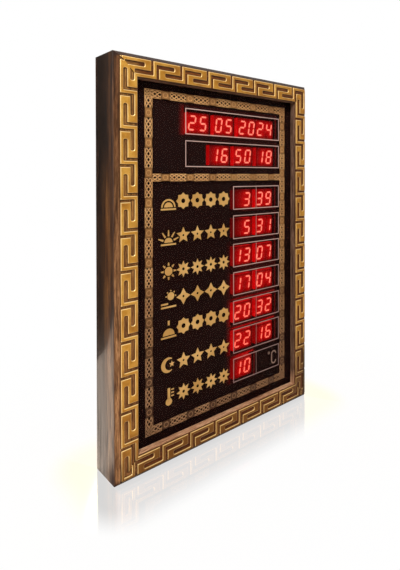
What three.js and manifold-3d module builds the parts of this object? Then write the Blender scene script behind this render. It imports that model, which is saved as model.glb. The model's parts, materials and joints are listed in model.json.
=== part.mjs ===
// Azan clock: a walnut-sided case with a gilded key moulding and nine rows of red number displays.
// Millimetres, +Z up. The front looks towards -Y and the origin lies under the middle of the case.
import * as THREE from 'three';
import { mergeVertices } from 'three/addons/utils/BufferGeometryUtils.js';
import Module from 'manifold-3d';

const wasm = await Module();
wasm.setup();

// Case
const caseWidth = 326;
const caseHeight = 500;
const caseDepth = 54;
const fitGap = 0.3;
const mitreGap = 0.1;
const cutOverrun = 1;
const weldDistance = 1e-4;

// Rail moulding in section: widths run in from the outer face, depths run back from the front
const bevelWidth = 5.5;
const bevelDepth = 7;
const keyWidth = 21.8;
const keyRelief = 1.4;
const lipWidth = 1.2;
const lipDepth = 2.4;
const panelDepth = 11;
const panelLedge = 6;
const carrierLedge = 6;
const coverLedge = 8;
const coverRecess = 5;

// Key pattern on the moulding
const keyPitch = 40.7;
const keyBarWidth = 4.5;
const keySink = 0.4;

// Sheets that lie one behind the other
const panelThickness = 3;
const carrierThickness = 3;
const boardThickness = 1.6;
const coverThickness = 3;

// Number displays
const digitPitch = 17.6;
const displayHeight = 27.6;
const displayDepth = 8;
const timeRowCount = 6;
const pairStep = 43;
const yearMargin = 33.4;
const rowMargin = 34.7;
const displayBase = 1;
const windowGap = 1.5;
const boardMargin = 10;

// Posts on the carrier that hold the display board by their heads
const postRadius = 3;
const postPinRadius = 1.5;
const postHeadRadius = 2.6;
const postHeadHeight = 0.8;
const postInset = 5;
const postSides = 10;

// Screws
const screwHeadRadius = 2.9;
const screwHeadHeight = 1.8;
const screwShankRadius = 1.5;
const screwShankLength = 11;
const carrierScrewBite = 4;
const screwSlotWidth = 0.9;
const screwSlotDepth = 0.9;
const screwSides = 8;

// Control board and what it carries
const controlWidth = 120;
const controlHeight = 76;
const controlX = 42;
const controlZ = 112;
const standoffRadius = 3;
const standoffInset = 6;
const chipLength = 52;
const chipWidth = 14;
const chipThickness = 4;
const chipNotchRadius = 1.6;
const cellRadius = 10;
const cellThickness = 3.2;
const holderWall = 1.6;
const sinkWidth = 22;
const sinkHeight = 16;
const sinkFinCount = 5;
const sinkFinThickness = 1.4;
const sinkBase = 2;
const sensorRadius = 2.4;

// Setting buttons
const buttonCount = 4;
const buttonStep = 14;
const buttonRadius = 3.4;
const buttonFlangeRadius = 4.4;
const buttonProud = 3;
const buttonTravel = 1.2;
const switchBodyHeight = 9;

// Volume control
const potRadius = 6;
const potShaftRadius = 1.6;
const knobRadius = 7;
const knobHeight = 3.8;
const knobBoreDepth = 2.6;
const knobRibCount = 12;
const knobRibDepth = 0.5;

// Power inlet
const jackWidth = 9;
const jackHeight = 10;
const jackBoreRadius = 3;
const jackPinRadius = 0.8;

// Loudspeaker
const speakerZ = 330;
const speakerRadius = 28.5;
const speakerFlange = 1.4;
const speakerFlangeWidth = 4;
const speakerWall = 1.2;
const basketDepth = 8;
const magnetRadius = 14;
const magnetDepth = 7;
const coneDrop = 5;
const coneThickness = 0.8;
const coneCapRadius = 8;
const coneCapHeight = 2;
const grilleHoleRadius = 1.7;
const grilleStep = 7;

// Vents in the rear cover
const ventCount = 9;
const ventLength = 26;
const ventWidth = 4.6;
const ventStep = 10;
const ventEndDrop = 26;

// Hangers
const strapWidth = 9;
const strapThickness = 0.8;
const strapDrop = 22;
const strapOverhang = 3.6;
const ringWireRadius = 0.9;
const ringWidth = 17;
const ringDrop = 13;
const ringSides = 8;
const ringBowSteps = 8;

// Ribbon lead
const ribbonWidth = 24;
const ribbonThickness = 1;

// Shares that the shapes follow
const keyBlockShares = { start: 0.13, lowEnd: 0.35, highStart: 0.66, end: 0.88 };
const keyRowShares = [0.2, 0.4, 0.6, 0.8];
// Display rows up the opening in the moulding: heights from its lower edge, and the step between rows
const displayRowShares = { date: 0.8995, time: 0.8056, firstRow: 0.6643, step: 0.0921 };
const windowRoomShares = { above: 0.45, below: 0.11 };
const postRowShares = [-0.125, 0.5, 1];
const screwPlaceShares = { sideCover: 0.34, endCarrier: 0.36, middle: 0 };
const screwCrossShare = 0.62;
const hangerShare = 0.638;
const speakerShare = 0.515;
const acrossBoardShares = {
  chip: -0.1, cell: 0.22, regulator: -0.3, ribbon: 0.05, buttons: -0.12, knob: 0.32,
};
const upBoardShares = { chip: 0.22, cell: -0.18, regulator: -0.2, buttons: 0.08 };
const cellInHolderShare = 0.7;
// The control board's standoffs take this share of the room behind the display board,
// and what stands on the board takes these shares of the room on its side of it
const standoffShare = 0.4124;
const frontRoomShares = { sink: 0.765, holderFloor: 0.1225 };
const backRoomShares = { switches: 0.425, buttonFlange: 0.125, pot: 0.75, sensor: 0.575 };
const jackShares = { bore: 0.773, pin: 0.824 };
const knobCrownShares = { radius: 0.88, height: 0.8 };
const pointerStartShare = 0.35;
const coneCapShares = { radius: 0.6, height: 0.7 };

// Places worked out from the sizes above
const aperture = bevelWidth + keyWidth + lipWidth;
const panelEdge = aperture - panelLedge;
const carrierEdge = panelEdge - carrierLedge;
const coverEdge = carrierEdge - coverLedge;
const carrierFace = panelDepth + panelThickness;
const displayFace = carrierFace + carrierThickness;
const boardFace = displayFace + displayDepth;
const boardBack = boardFace + boardThickness;
const coverBack = caseDepth - coverRecess;
const coverFront = coverBack - coverThickness;
const standoffLength = (coverFront - boardBack) * standoffShare;
const controlBack = coverFront - standoffLength;
const controlFront = controlBack - boardThickness;
const frontRoom = controlFront - boardBack;
const coverScrewLine = (coverEdge + carrierEdge) / 2;
const carrierScrewLine = (carrierEdge + panelEdge) / 2;
const pairWidth = digitPitch * 2;
const yearEndX = caseWidth / 2 - aperture - yearMargin;
const rowEndX = caseWidth / 2 - aperture - rowMargin;
const hangerX = caseWidth / 2 * hangerShare;
const speakerX = -caseWidth / 2 * speakerShare;
const openingHeight = caseHeight - aperture * 2;
const dateZ = aperture + openingHeight * displayRowShares.date;
const timeZ = aperture + openingHeight * displayRowShares.time;
const firstRowZ = aperture + openingHeight * displayRowShares.firstRow;
const rowStep = openingHeight * displayRowShares.step;
const fullCircle = Math.PI * 2;
const quarterTurn = Math.PI / 2;

const walnut = new THREE.MeshStandardMaterial({ color: 0x5b4030, roughness: 0.55, metalness: 0 });
const smokedGlass = new THREE.MeshStandardMaterial({ color: 0x120d0d, roughness: 0.12, metalness: 0 });
const blackBoard = new THREE.MeshStandardMaterial({ color: 0x1c1a19, roughness: 0.85, metalness: 0 });
const hardboard = new THREE.MeshStandardMaterial({ color: 0x6a4a30, roughness: 0.8, metalness: 0 });
const greenBoard = new THREE.MeshStandardMaterial({ color: 0x1d5a34, roughness: 0.5, metalness: 0 });
const displayRed = new THREE.MeshStandardMaterial({ color: 0x7c1512, roughness: 0.35, metalness: 0 });
const blackPlastic = new THREE.MeshStandardMaterial({ color: 0x1a1a1b, roughness: 0.5, metalness: 0 });
const greyPlastic = new THREE.MeshStandardMaterial({ color: 0x8d8f90, roughness: 0.5, metalness: 0 });
const steel = new THREE.MeshStandardMaterial({ color: 0xb9bbbd, roughness: 0.3, metalness: 1 });
const brass = new THREE.MeshStandardMaterial({ color: 0xb98d3c, roughness: 0.35, metalness: 1 });
const aluminium = new THREE.MeshStandardMaterial({ color: 0xa9acb0, roughness: 0.4, metalness: 1 });
const paperCone = new THREE.MeshStandardMaterial({ color: 0x2b2927, roughness: 0.95, metalness: 0 });

// Inside this group a piece's Y is its depth behind the front of the case
const azanClock = new THREE.Group();
const caseGroup = new THREE.Group();
caseGroup.position.y = -caseDepth / 2;
azanClock.add(caseGroup);

function toSolid(geometry) {
  const bare = geometry.clone();
  bare.deleteAttribute('normal');
  bare.deleteAttribute('uv');
  const merged = mergeVertices(bare, weldDistance);
  const index = merged.index.array;
  const triangles = [];
  for (let i = 0; i < index.length; i += 3) {
    const [a, b, c] = [index[i], index[i + 1], index[i + 2]];
    if (a !== b && b !== c && c !== a) {
      triangles.push(a, b, c);
    }
  }
  const vertProperties = new Float32Array(merged.attributes.position.array);
  const triVerts = new Uint32Array(triangles);
  return new wasm.Manifold(new wasm.Mesh({ numProp: 3, vertProperties, triVerts }));
}

function toGeometry(solid) {
  const mesh = solid.getMesh();
  const geometry = new THREE.BufferGeometry();
  geometry.setAttribute('position', new THREE.BufferAttribute(new Float32Array(mesh.vertProperties), 3));
  geometry.setIndex(new THREE.BufferAttribute(new Uint32Array(mesh.triVerts), 1));
  geometry.computeVertexNormals();
  return geometry;
}

function slab(x0, x1, y0, y1, z0, z1) {
  const geometry = new THREE.BoxGeometry(x1 - x0, y1 - y0, z1 - z0);
  geometry.translate((x0 + x1) / 2, (y0 + y1) / 2, (z0 + z1) / 2);
  return toSolid(geometry);
}

function rod(radius, y0, y1, x, z, sides) {
  const geometry = new THREE.CylinderGeometry(radius, radius, y1 - y0, sides);
  geometry.translate(x, (y0 + y1) / 2, z);
  return toSolid(geometry);
}

function turned(outline, sides) {
  const points = outline.map(([radius, y]) => new THREE.Vector2(radius, y));
  return toSolid(new THREE.LatheGeometry(points, sides));
}

function extruded(outline, width) {
  const shape = new THREE.Shape(outline.map(([x, y]) => new THREE.Vector2(x, y)));
  const geometry = new THREE.ExtrudeGeometry(shape, { depth: width, bevelEnabled: false });
  geometry.translate(0, 0, -width / 2);
  return geometry;
}

function joined(solids) {
  return solids.reduce((whole, next) => whole.add(next));
}

function cut(solid, tools) {
  return tools.reduce((rest, tool) => rest.subtract(tool), solid);
}

function place(parent, name, shape, material, x = 0, y = 0, z = 0) {
  const geometry = shape instanceof THREE.BufferGeometry ? shape : toGeometry(shape);
  const mesh = new THREE.Mesh(geometry, material);
  mesh.name = name;
  mesh.position.set(x, y, z);
  parent.add(mesh);
  return mesh;
}

// A pan-head screw: head towards +Z, the seat at Z = 0, the shank towards -Z
function screwShape(shankLength) {
  const blank = turned([
    [0, -shankLength],
    [screwShankRadius / 2, -shankLength + screwShankRadius],
    [screwShankRadius, -shankLength + screwShankRadius * 2],
    [screwShankRadius, 0],
    [screwHeadRadius, 0],
    [screwHeadRadius, screwHeadHeight / 2],
    [screwHeadRadius - screwHeadHeight / 2, screwHeadHeight],
    [0, screwHeadHeight],
  ], screwSides);
  const arm = screwHeadRadius * screwCrossShare;
  const half = screwSlotWidth / 2;
  const floor = screwHeadHeight - screwSlotDepth;
  const top = screwHeadHeight + cutOverrun;
  const cross = [slab(-arm, arm, floor, top, -half, half), slab(-half, half, floor, top, -arm, arm)];
  const shaped = cut(blank, cross);
  return toGeometry(shaped).rotateX(quarterTurn);
}

// Each rail stands in a group whose X runs clockwise round the frame, whose Y runs inwards
// from the outer face and whose Z runs back from the front
const railPlans = {
  top: { length: caseWidth, turns: 0, x: 0, z: caseHeight, phaseShare: 0.238 },
  right: { length: caseHeight, turns: 1, x: caseWidth / 2, z: caseHeight / 2, phaseShare: 0.224 },
  bottom: { length: caseWidth, turns: 2, x: 0, z: 0, phaseShare: 0.501 },
  left: { length: caseHeight, turns: 3, x: -caseWidth / 2, z: caseHeight / 2, phaseShare: 0.15 },
};

function railPoint(plan, along, across) {
  const angle = plan.turns * quarterTurn;
  const [c, s] = [Math.cos(angle), Math.sin(angle)];
  return { x: plan.x + along * c - across * s, z: plan.z - along * s - across * c };
}

// A straight moulding whose ends are cut back by as much as each point lies inwards
function mitred(outline, length) {
  const geometry = extruded(outline, 1);
  const position = geometry.attributes.position;
  for (let i = 0; i < position.count; i += 1) {
    const [across, depth, end] = [position.getX(i), position.getY(i), position.getZ(i)];
    position.setXYZ(i, end * (length - 2 * (across + mitreGap)), across, depth);
  }
  return toSolid(geometry);
}

function keyRelieving(length, phaseShare) {
  const [low, under, over, high] = keyRowShares.map((share) => keyWidth * (1 - share) + bevelWidth);
  const outer = bevelWidth;
  const inner = bevelWidth + keyWidth;
  const back = keyRelief + keySink;
  const half = keyBarWidth / 2;
  const pieces = [];
  const first = phaseShare * keyPitch - length / 2 - keyPitch * 2;
  for (let u = first; u < length / 2 + keyPitch; u += keyPitch) {
    const [start, lowEnd] = [u + keyBlockShares.start * keyPitch, u + keyBlockShares.lowEnd * keyPitch];
    const [highStart, end] = [u + keyBlockShares.highStart * keyPitch, u + keyBlockShares.end * keyPitch];
    pieces.push(
      slab(u - half, u + half, outer, inner, 0, back),
      slab(u, end, outer, high, 0, back),
      slab(highStart, end, outer, under, 0, back),
      slab(start, end, over, under, 0, back),
      slab(start, lowEnd, over, inner, 0, back),
      slab(start, u + keyPitch, low, inner, 0, back),
    );
  }
  const field = mitred([[outer, 0], [inner, 0], [inner, back], [outer, back]], length);
  return joined(pieces).intersect(field);
}

function railSolid(plan, holes) {
  const moulding = mitred([
    [0, bevelDepth],
    [bevelWidth, keyRelief],
    [bevelWidth + keyWidth, keyRelief],
    [bevelWidth + keyWidth, lipDepth],
    [aperture, lipDepth],
    [aperture, panelDepth],
    [panelEdge, panelDepth],
    [panelEdge, carrierFace],
    [carrierEdge, carrierFace],
    [carrierEdge, coverFront],
    [coverEdge, coverFront],
    [coverEdge, caseDepth],
    [0, caseDepth],
  ], plan.length);
  return cut(moulding.add(keyRelieving(plan.length, plan.phaseShare)), holes);
}

// A screw's seat and the pilot hole that its shank needs in the rail below
function screwPlace(name, along, across, seat, grip) {
  return { name, along, across, seat, length: grip + screwShankLength };
}

const coverGrip = coverThickness + fitGap;
const hangerGrip = coverGrip + strapThickness + fitGap;
const sideAlong = caseHeight * screwPlaceShares.sideCover;
const endAlong = caseWidth * screwPlaceShares.endCarrier;
const coverSeat = coverBack + fitGap;
const hangerSeat = coverSeat + strapThickness + fitGap;
const carrierSeat = displayFace + fitGap;
const carrierGrip = carrierThickness + fitGap + carrierScrewBite - screwShankLength;
const railScrews = {
  top: [
    screwPlace('top_cover_screw', screwPlaceShares.middle, coverScrewLine, coverSeat, coverGrip),
    screwPlace('left_hanger_screw', -hangerX, coverScrewLine, hangerSeat, hangerGrip),
    screwPlace('right_hanger_screw', hangerX, coverScrewLine, hangerSeat, hangerGrip),
    screwPlace('upper_left_carrier_screw', -endAlong, carrierScrewLine, carrierSeat, carrierGrip),
    screwPlace('upper_right_carrier_screw', endAlong, carrierScrewLine, carrierSeat, carrierGrip),
  ],
  right: [
    screwPlace('upper_right_cover_screw', -sideAlong, coverScrewLine, coverSeat, coverGrip),
    screwPlace('lower_right_cover_screw', sideAlong, coverScrewLine, coverSeat, coverGrip),
  ],
  bottom: [
    screwPlace('bottom_cover_screw', screwPlaceShares.middle, coverScrewLine, coverSeat, coverGrip),
    screwPlace('lower_right_carrier_screw', -endAlong, carrierScrewLine, carrierSeat, carrierGrip),
    screwPlace('lower_left_carrier_screw', endAlong, carrierScrewLine, carrierSeat, carrierGrip),
  ],
  left: [
    screwPlace('lower_left_cover_screw', -sideAlong, coverScrewLine, coverSeat, coverGrip),
    screwPlace('upper_left_cover_screw', sideAlong, coverScrewLine, coverSeat, coverGrip),
  ],
};

const coverHoles = [];
const carrierHoles = [];
const holeRadius = screwShankRadius + fitGap;
for (const [side, plan] of Object.entries(railPlans)) {
  const holes = railScrews[side].map(({ along, across, seat, length }) => {
    const bottom = seat - length - fitGap;
    const drill = new THREE.CylinderGeometry(holeRadius, holeRadius, length + cutOverrun * 2, screwSides);
    drill.rotateX(quarterTurn).translate(along, across, bottom + length / 2 + cutOverrun);
    return toSolid(drill);
  });
  const group = new THREE.Group();
  group.position.set(plan.x, 0, plan.z);
  group.rotation.set(-quarterTurn, plan.turns * quarterTurn, 0, 'YXZ');
  caseGroup.add(group);
  place(group, `${side}_rail`, railSolid(plan, holes), walnut);
  for (const { name, along, across, seat, length } of railScrews[side]) {
    place(group, name, screwShape(length), steel, along, across, seat);
    const { x, z } = railPoint(plan, along, across);
    const sheet = seat > displayFace + displayDepth ? coverHoles : carrierHoles;
    sheet.push({ x, z });
  }
}

// A sheet that fills the case's rebate at one depth
function sheetSolid(edge, front, back) {
  const halfWidth = caseWidth / 2 - edge - fitGap;
  return slab(-halfWidth, halfWidth, front, back, edge + fitGap, caseHeight - edge - fitGap);
}

function screwHoles(places, front, back) {
  return places.map(({ x, z }) => rod(holeRadius, front - cutOverrun, back + cutOverrun, x, z, screwSides));
}

const panel = sheetSolid(panelEdge, panelDepth + fitGap, carrierFace - fitGap);
place(caseGroup, 'front_panel', panel, smokedGlass);

// Displays: each pair of digits is a block, and a time row's two pairs share a thin base
const displays = [
  { name: 'day_display', cells: 2, end: yearEndX - pairWidth - fitGap - pairStep * 2, z: dateZ },
  { name: 'month_display', cells: 2, end: yearEndX - pairWidth - fitGap - pairStep, z: dateZ },
  { name: 'century_display', cells: 2, end: yearEndX - pairWidth - fitGap, z: dateZ },
  { name: 'year_display', cells: 2, end: yearEndX, z: dateZ },
  { name: 'hours_display', cells: 2, end: yearEndX - pairStep * 2, z: timeZ },
  { name: 'minutes_display', cells: 2, end: yearEndX - pairStep, z: timeZ },
  { name: 'seconds_display', cells: 2, end: yearEndX, z: timeZ },
];
for (let row = 0; row < timeRowCount; row += 1) {
  displays.push({ name: `row_${row + 1}_display`, cells: 4, end: rowEndX, z: firstRowZ - row * rowStep });
}
const lowestRowZ = firstRowZ - timeRowCount * rowStep;
displays.push({ name: 'temperature_display', cells: 2, end: rowEndX - pairStep, z: lowestRowZ });

function displayWidth(cells) {
  return cells === 2 ? pairWidth : pairStep + pairWidth;
}

// The carrier's windows leave room beside and above each display, so that its lit sides show too
const displayHalf = displayHeight / 2;
const rowGap = rowStep - displayHeight;
const windowCuts = [];
for (const { name, cells, end, z } of displays) {
  const width = displayWidth(cells);
  const block = slab(-width / 2, width / 2, 0, displayDepth, -displayHalf, displayHalf);
  const between = slab(
    pairWidth - width / 2, width / 2 - pairWidth,
    -cutOverrun, displayDepth - displayBase, -displayHalf - cutOverrun, displayHalf + cutOverrun,
  );
  const body = cells === 2 ? block : cut(block, [between]);
  place(caseGroup, name, body, displayRed, end - width / 2, displayFace, z);
  windowCuts.push(slab(
    end - width - displayDepth, end + windowGap,
    carrierFace - cutOverrun, displayFace + cutOverrun,
    z - displayHalf - rowGap * windowRoomShares.below, z + displayHalf + rowGap * windowRoomShares.above,
  ));
}

// The carrier: a black sheet with posts that go through the display board and end in heads
const dateStart = Math.min(...displays.map(({ cells, end }) => end - displayWidth(cells)));
const displayEnd = Math.max(yearEndX, rowEndX);
const boardStart = dateStart - boardMargin;
const boardEnd = displayEnd + boardMargin;
const postPlaces = postRowShares.flatMap((share) => {
  const z = firstRowZ + (lowestRowZ - firstRowZ) * share;
  return [{ x: boardStart + postInset, z }, { x: boardEnd - postInset, z }];
});
const headStart = boardBack + fitGap;
const posts = postPlaces.map(({ x, z }) => joined([
  rod(postRadius, carrierFace, boardFace, x, z, postSides),
  rod(postPinRadius, carrierFace, headStart + postHeadHeight / 2, x, z, postSides),
  rod(postHeadRadius, headStart, headStart + postHeadHeight, x, z, postSides),
]));
const carrierSheet = sheetSolid(carrierEdge, carrierFace, displayFace);
const carrierCuts = windowCuts.concat(screwHoles(carrierHoles, carrierFace, displayFace));
place(caseGroup, 'display_carrier', joined([cut(carrierSheet, carrierCuts), ...posts]), blackBoard);

const displayBoard = slab(
  boardStart,
  boardEnd,
  boardFace,
  boardBack,
  lowestRowZ - displayHalf - boardMargin,
  dateZ + displayHalf + boardMargin,
);
const pinHole = postPinRadius + fitGap;
const pinHoles = postPlaces.map(({ x, z }) => (
  rod(pinHole, boardFace - cutOverrun, boardBack + cutOverrun, x, z, postSides)
));
place(caseGroup, 'display_board', cut(displayBoard, pinHoles), blackBoard);

// Control board on four standoffs that rise from the rear cover
const controlSides = { x0: controlX - controlWidth / 2, x1: controlX + controlWidth / 2 };
const controlEnds = { z0: controlZ - controlHeight / 2, z1: controlZ + controlHeight / 2 };
place(caseGroup, 'control_board', slab(
  controlSides.x0, controlSides.x1, controlFront, controlBack, controlEnds.z0, controlEnds.z1,
), greenBoard);
const standoffPlaces = {
  upper_left: [controlSides.x0 + standoffInset, controlEnds.z1 - standoffInset],
  upper_right: [controlSides.x1 - standoffInset, controlEnds.z1 - standoffInset],
  lower_left: [controlSides.x0 + standoffInset, controlEnds.z0 + standoffInset],
  lower_right: [controlSides.x1 - standoffInset, controlEnds.z0 + standoffInset],
};
for (const [corner, [x, z]] of Object.entries(standoffPlaces)) {
  place(caseGroup, `${corner}_standoff`, rod(standoffRadius, controlBack, coverFront, x, z, 6), brass);
}

// Parts on the board's front, which look towards the displays
const onBoardX = (piece) => controlX + controlWidth * acrossBoardShares[piece];
const onBoardZ = (piece) => controlZ + controlHeight * upBoardShares[piece];
const chipX = onBoardX('chip');
const chipZ = onBoardZ('chip');
const chipFront = controlFront - chipThickness;
const chipNotch = rod(
  chipNotchRadius, chipFront - cutOverrun, chipFront + chipNotchRadius, -chipLength / 2, 0, screwSides,
);
const chip = slab(-chipLength / 2, chipLength / 2, chipFront, controlFront, -chipWidth / 2, chipWidth / 2);
place(caseGroup, 'microcontroller', cut(chip, [chipNotch]), blackPlastic, chipX, 0, chipZ);

const cellX = onBoardX('cell');
const cellZ = onBoardZ('cell');
const holderRadius = cellRadius + fitGap + holderWall;
const holderFloor = frontRoom * frontRoomShares.holderFloor;
const holderFront = controlFront - holderFloor - fitGap - cellThickness * cellInHolderShare;
const holder = cut(rod(holderRadius, holderFront, controlFront, 0, 0, 24), [
  rod(cellRadius + fitGap, holderFront - cutOverrun, controlFront - holderFloor, 0, 0, 24),
]);
place(caseGroup, 'cell_holder', holder, blackPlastic, cellX, 0, cellZ);
const cellBack = controlFront - holderFloor - fitGap;
const cell = rod(cellRadius, cellBack - cellThickness, cellBack, 0, 0, 24);
place(caseGroup, 'coin_cell', cell, steel, cellX, 0, cellZ);

const sinkX = onBoardX('regulator');
const sinkZ = onBoardZ('regulator');
const sinkDepth = frontRoom * frontRoomShares.sink;
const sinkHalf = sinkHeight / 2;
const sinkSide = sinkWidth / 2;
const sinkParts = [slab(-sinkSide, sinkSide, controlFront - sinkBase, controlFront, -sinkHalf, sinkHalf)];
for (let fin = 0; fin < sinkFinCount; fin += 1) {
  const left = -sinkSide + fin * (sinkWidth - sinkFinThickness) / (sinkFinCount - 1);
  const right = left + sinkFinThickness;
  sinkParts.push(slab(left, right, controlFront - sinkDepth, controlFront, -sinkHalf, sinkHalf));
}
place(caseGroup, 'voltage_regulator', joined(sinkParts), aluminium, sinkX, 0, sinkZ);

// The room-temperature sensor stands on the board's back, behind the lower vents
const sensorX = controlX - controlWidth / 2 + standoffInset * 3;
const sensorZ = controlEnds.z0 + sensorRadius * 2;
const sensorLength = standoffLength * backRoomShares.sensor;
place(
  caseGroup, 'temperature_sensor',
  rod(sensorRadius, controlBack, controlBack + sensorLength, 0, 0, 10), blackPlastic, sensorX, 0, sensorZ,
);

// Ribbon lead from the control board forward to the display board
const ribbonX = onBoardX('ribbon');
const ribbonZ = controlEnds.z1 - ribbonThickness * 8;
const ribbonRise = controlFront - boardBack;
const ribbonOutline = [
  [0, 0],
  [ribbonThickness, 0],
  [ribbonThickness, ribbonRise / 2 - ribbonThickness / 2],
  [ribbonThickness * 6, ribbonRise / 2 - ribbonThickness / 2],
  [ribbonThickness * 6, ribbonRise],
  [ribbonThickness * 5, ribbonRise],
  [ribbonThickness * 5, ribbonRise / 2 + ribbonThickness / 2],
  [0, ribbonRise / 2 + ribbonThickness / 2],
];
const ribbon = extruded(ribbonOutline, ribbonWidth);
ribbon.rotateY(-quarterTurn);
place(caseGroup, 'ribbon_lead', toSolid(ribbon), greyPlastic, ribbonX, boardBack, ribbonZ);

// Setting buttons: caps that stand through the cover, each on a switch on the board's back
const bankX = onBoardX('buttons');
const buttonFirstX = bankX - (buttonCount - 1) * buttonStep / 2;
const buttonZ = onBoardZ('buttons');
const switchBack = controlBack + standoffLength * backRoomShares.switches;
const switchBankHalf = (buttonCount * buttonStep - fitGap) / 2;
const switchHalf = switchBodyHeight / 2;
const switchBank = slab(-switchBankHalf, switchBankHalf, controlBack, switchBack, -switchHalf, switchHalf);
place(caseGroup, 'switch_bank', switchBank, blackPlastic, bankX, 0, buttonZ);
const buttonSeat = switchBack + fitGap + buttonTravel;
const buttonFlange = standoffLength * backRoomShares.buttonFlange;
const buttonCap = turned([
  [0, buttonSeat],
  [buttonFlangeRadius, buttonSeat],
  [buttonFlangeRadius, buttonSeat + buttonFlange],
  [buttonRadius, buttonSeat + buttonFlange],
  [buttonRadius, coverBack + buttonProud - buttonFlange / 2],
  [buttonRadius - buttonFlange / 2, coverBack + buttonProud],
  [0, coverBack + buttonProud],
], 12);
const buttonNames = ['mode_button', 'up_button', 'down_button', 'set_button'];
const buttonPlaces = buttonNames.map((name, i) => ({ name, x: buttonFirstX + i * buttonStep, z: buttonZ }));
for (const { name, x, z } of buttonPlaces) {
  place(caseGroup, name, buttonCap, greyPlastic, x, 0, z);
}

// Volume control: the pot's shaft stands through the cover into the knob
const potX = onBoardX('knob');
const potZ = buttonZ;
const knobFront = coverBack + fitGap;
const shaftEnd = knobFront + knobBoreDepth - fitGap;
const potBack = controlBack + standoffLength * backRoomShares.pot;
const pot = rod(potRadius, controlBack, potBack, 0, 0, 20)
  .add(rod(potShaftRadius, controlBack, shaftEnd, 0, 0, 16));
place(caseGroup, 'volume_control', pot, greyPlastic, potX, 0, potZ);
const knobBlank = cut(turned([
  [0, knobFront],
  [knobRadius, knobFront],
  [knobRadius, knobFront + knobHeight * knobCrownShares.height],
  [knobRadius * knobCrownShares.radius, knobFront + knobHeight],
  [0, knobFront + knobHeight],
], 36), [rod(potShaftRadius + fitGap, knobFront - cutOverrun, knobFront + knobBoreDepth, 0, 0, 16)]);
const knobGrooves = [];
for (let rib = 0; rib < knobRibCount; rib += 1) {
  const angle = rib * fullCircle / knobRibCount;
  const reach = knobRadius + knobRibDepth;
  knobGrooves.push(rod(
    knobRibDepth * 2, knobFront - cutOverrun, knobFront + knobHeight + cutOverrun,
    Math.cos(angle) * reach, Math.sin(angle) * reach, 8,
  ));
}
const pointerWidth = knobRibDepth * 2;
const pointer = slab(
  -pointerWidth / 2, pointerWidth / 2,
  knobFront + knobHeight - knobRibDepth, knobFront + knobHeight + cutOverrun,
  knobRadius * pointerStartShare, knobRadius + cutOverrun,
);
place(caseGroup, 'volume_knob', cut(knobBlank, knobGrooves.concat([pointer])), blackPlastic, potX, 0, potZ);

// Power inlet: a socket with its centre pin, flush with the cover's back
const jackX = potX;
const jackZ = controlEnds.z0 + jackHeight / 2 + standoffInset;
const jackBoreDepth = (coverBack - controlBack) * jackShares.bore;
const jackPinStart = coverBack - jackBoreDepth;
const jackPinLength = jackBoreDepth * jackShares.pin;
const jack = cut(
  slab(-jackWidth / 2, jackWidth / 2, controlBack, coverBack, -jackHeight / 2, jackHeight / 2),
  [rod(jackBoreRadius, jackPinStart, coverBack + cutOverrun, 0, 0, 20)],
).add(rod(jackPinRadius, jackPinStart - fitGap, jackPinStart + jackPinLength, 0, 0, 10));
place(caseGroup, 'power_inlet', jack, blackPlastic, jackX, 0, jackZ);

// Loudspeaker against the inside of the cover, facing back
const flangeFront = coverFront - speakerFlange;
const coneEdge = speakerRadius - speakerFlangeWidth;
const basketFloor = flangeFront - basketDepth;
const magnetFront = basketFloor - magnetDepth;
const basket = turned([
  [0, magnetFront],
  [magnetRadius, magnetFront],
  [magnetRadius, basketFloor - speakerWall],
  [magnetRadius + speakerWall * 2, basketFloor - speakerWall],
  [coneEdge + speakerWall, flangeFront],
  [speakerRadius, flangeFront],
  [speakerRadius, coverFront],
  [coneEdge, coverFront],
  [coneEdge, flangeFront],
  [magnetRadius + speakerWall, basketFloor],
  [0, basketFloor],
], 24);
place(caseGroup, 'speaker_basket', basket, blackPlastic, speakerX, 0, speakerZ);
const coneOuter = coneEdge - fitGap;
const coneTop = coverFront - speakerFlange / 2;
const coneFloor = coneTop - coneDrop;
const cone = turned([
  [0, coneFloor - coneThickness],
  [coneCapRadius, coneFloor - coneThickness],
  [coneOuter - coneThickness, coneTop - coneThickness],
  [coneOuter, coneTop - coneThickness],
  [coneOuter, coneTop],
  [coneOuter - speakerWall, coneTop],
  [coneCapRadius, coneFloor],
  [coneCapRadius * coneCapShares.radius, coneFloor + coneCapHeight * coneCapShares.height],
  [0, coneFloor + coneCapHeight],
], 24);
place(caseGroup, 'speaker_cone', cone, paperCone, speakerX, 0, speakerZ);

// Rear cover with all its openings
const grilleCuts = [];
const grilleReach = coneEdge - grilleHoleRadius * 2;
const grilleRows = Math.ceil(grilleReach / grilleStep);
const grilleRowStep = grilleStep * Math.sqrt(3) / 2;
for (let row = -grilleRows; row <= grilleRows; row += 1) {
  for (let column = -grilleRows; column <= grilleRows; column += 1) {
    const x = (column + (row % 2 ? 0.5 : 0)) * grilleStep;
    const z = row * grilleRowStep;
    if (Math.hypot(x, z) <= grilleReach) {
      grilleCuts.push(rod(
        grilleHoleRadius, coverFront - cutOverrun, coverBack + cutOverrun, speakerX + x, speakerZ + z, 6,
      ));
    }
  }
}
const ventCuts = [];
const ventInset = coverEdge + ventEndDrop + ventLength / 2;
const ventMiddles = [caseHeight - ventInset, ventInset];
for (const z of ventMiddles) {
  for (let vent = 0; vent < ventCount; vent += 1) {
    const x = (vent - (ventCount - 1) / 2) * ventStep;
    ventCuts.push(slab(
      x - ventWidth / 2, x + ventWidth / 2, coverFront - cutOverrun, coverBack + cutOverrun,
      z - ventLength / 2, z + ventLength / 2,
    ));
  }
}
const buttonCuts = buttonPlaces.map(({ x, z }) => (
  rod(buttonRadius + fitGap, coverFront - cutOverrun, coverBack + cutOverrun, x, z, 12)
));
const shaftHole = potShaftRadius + fitGap * 2;
const shaftCut = rod(shaftHole, coverFront - cutOverrun, coverBack + cutOverrun, potX, potZ, 16);
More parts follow.
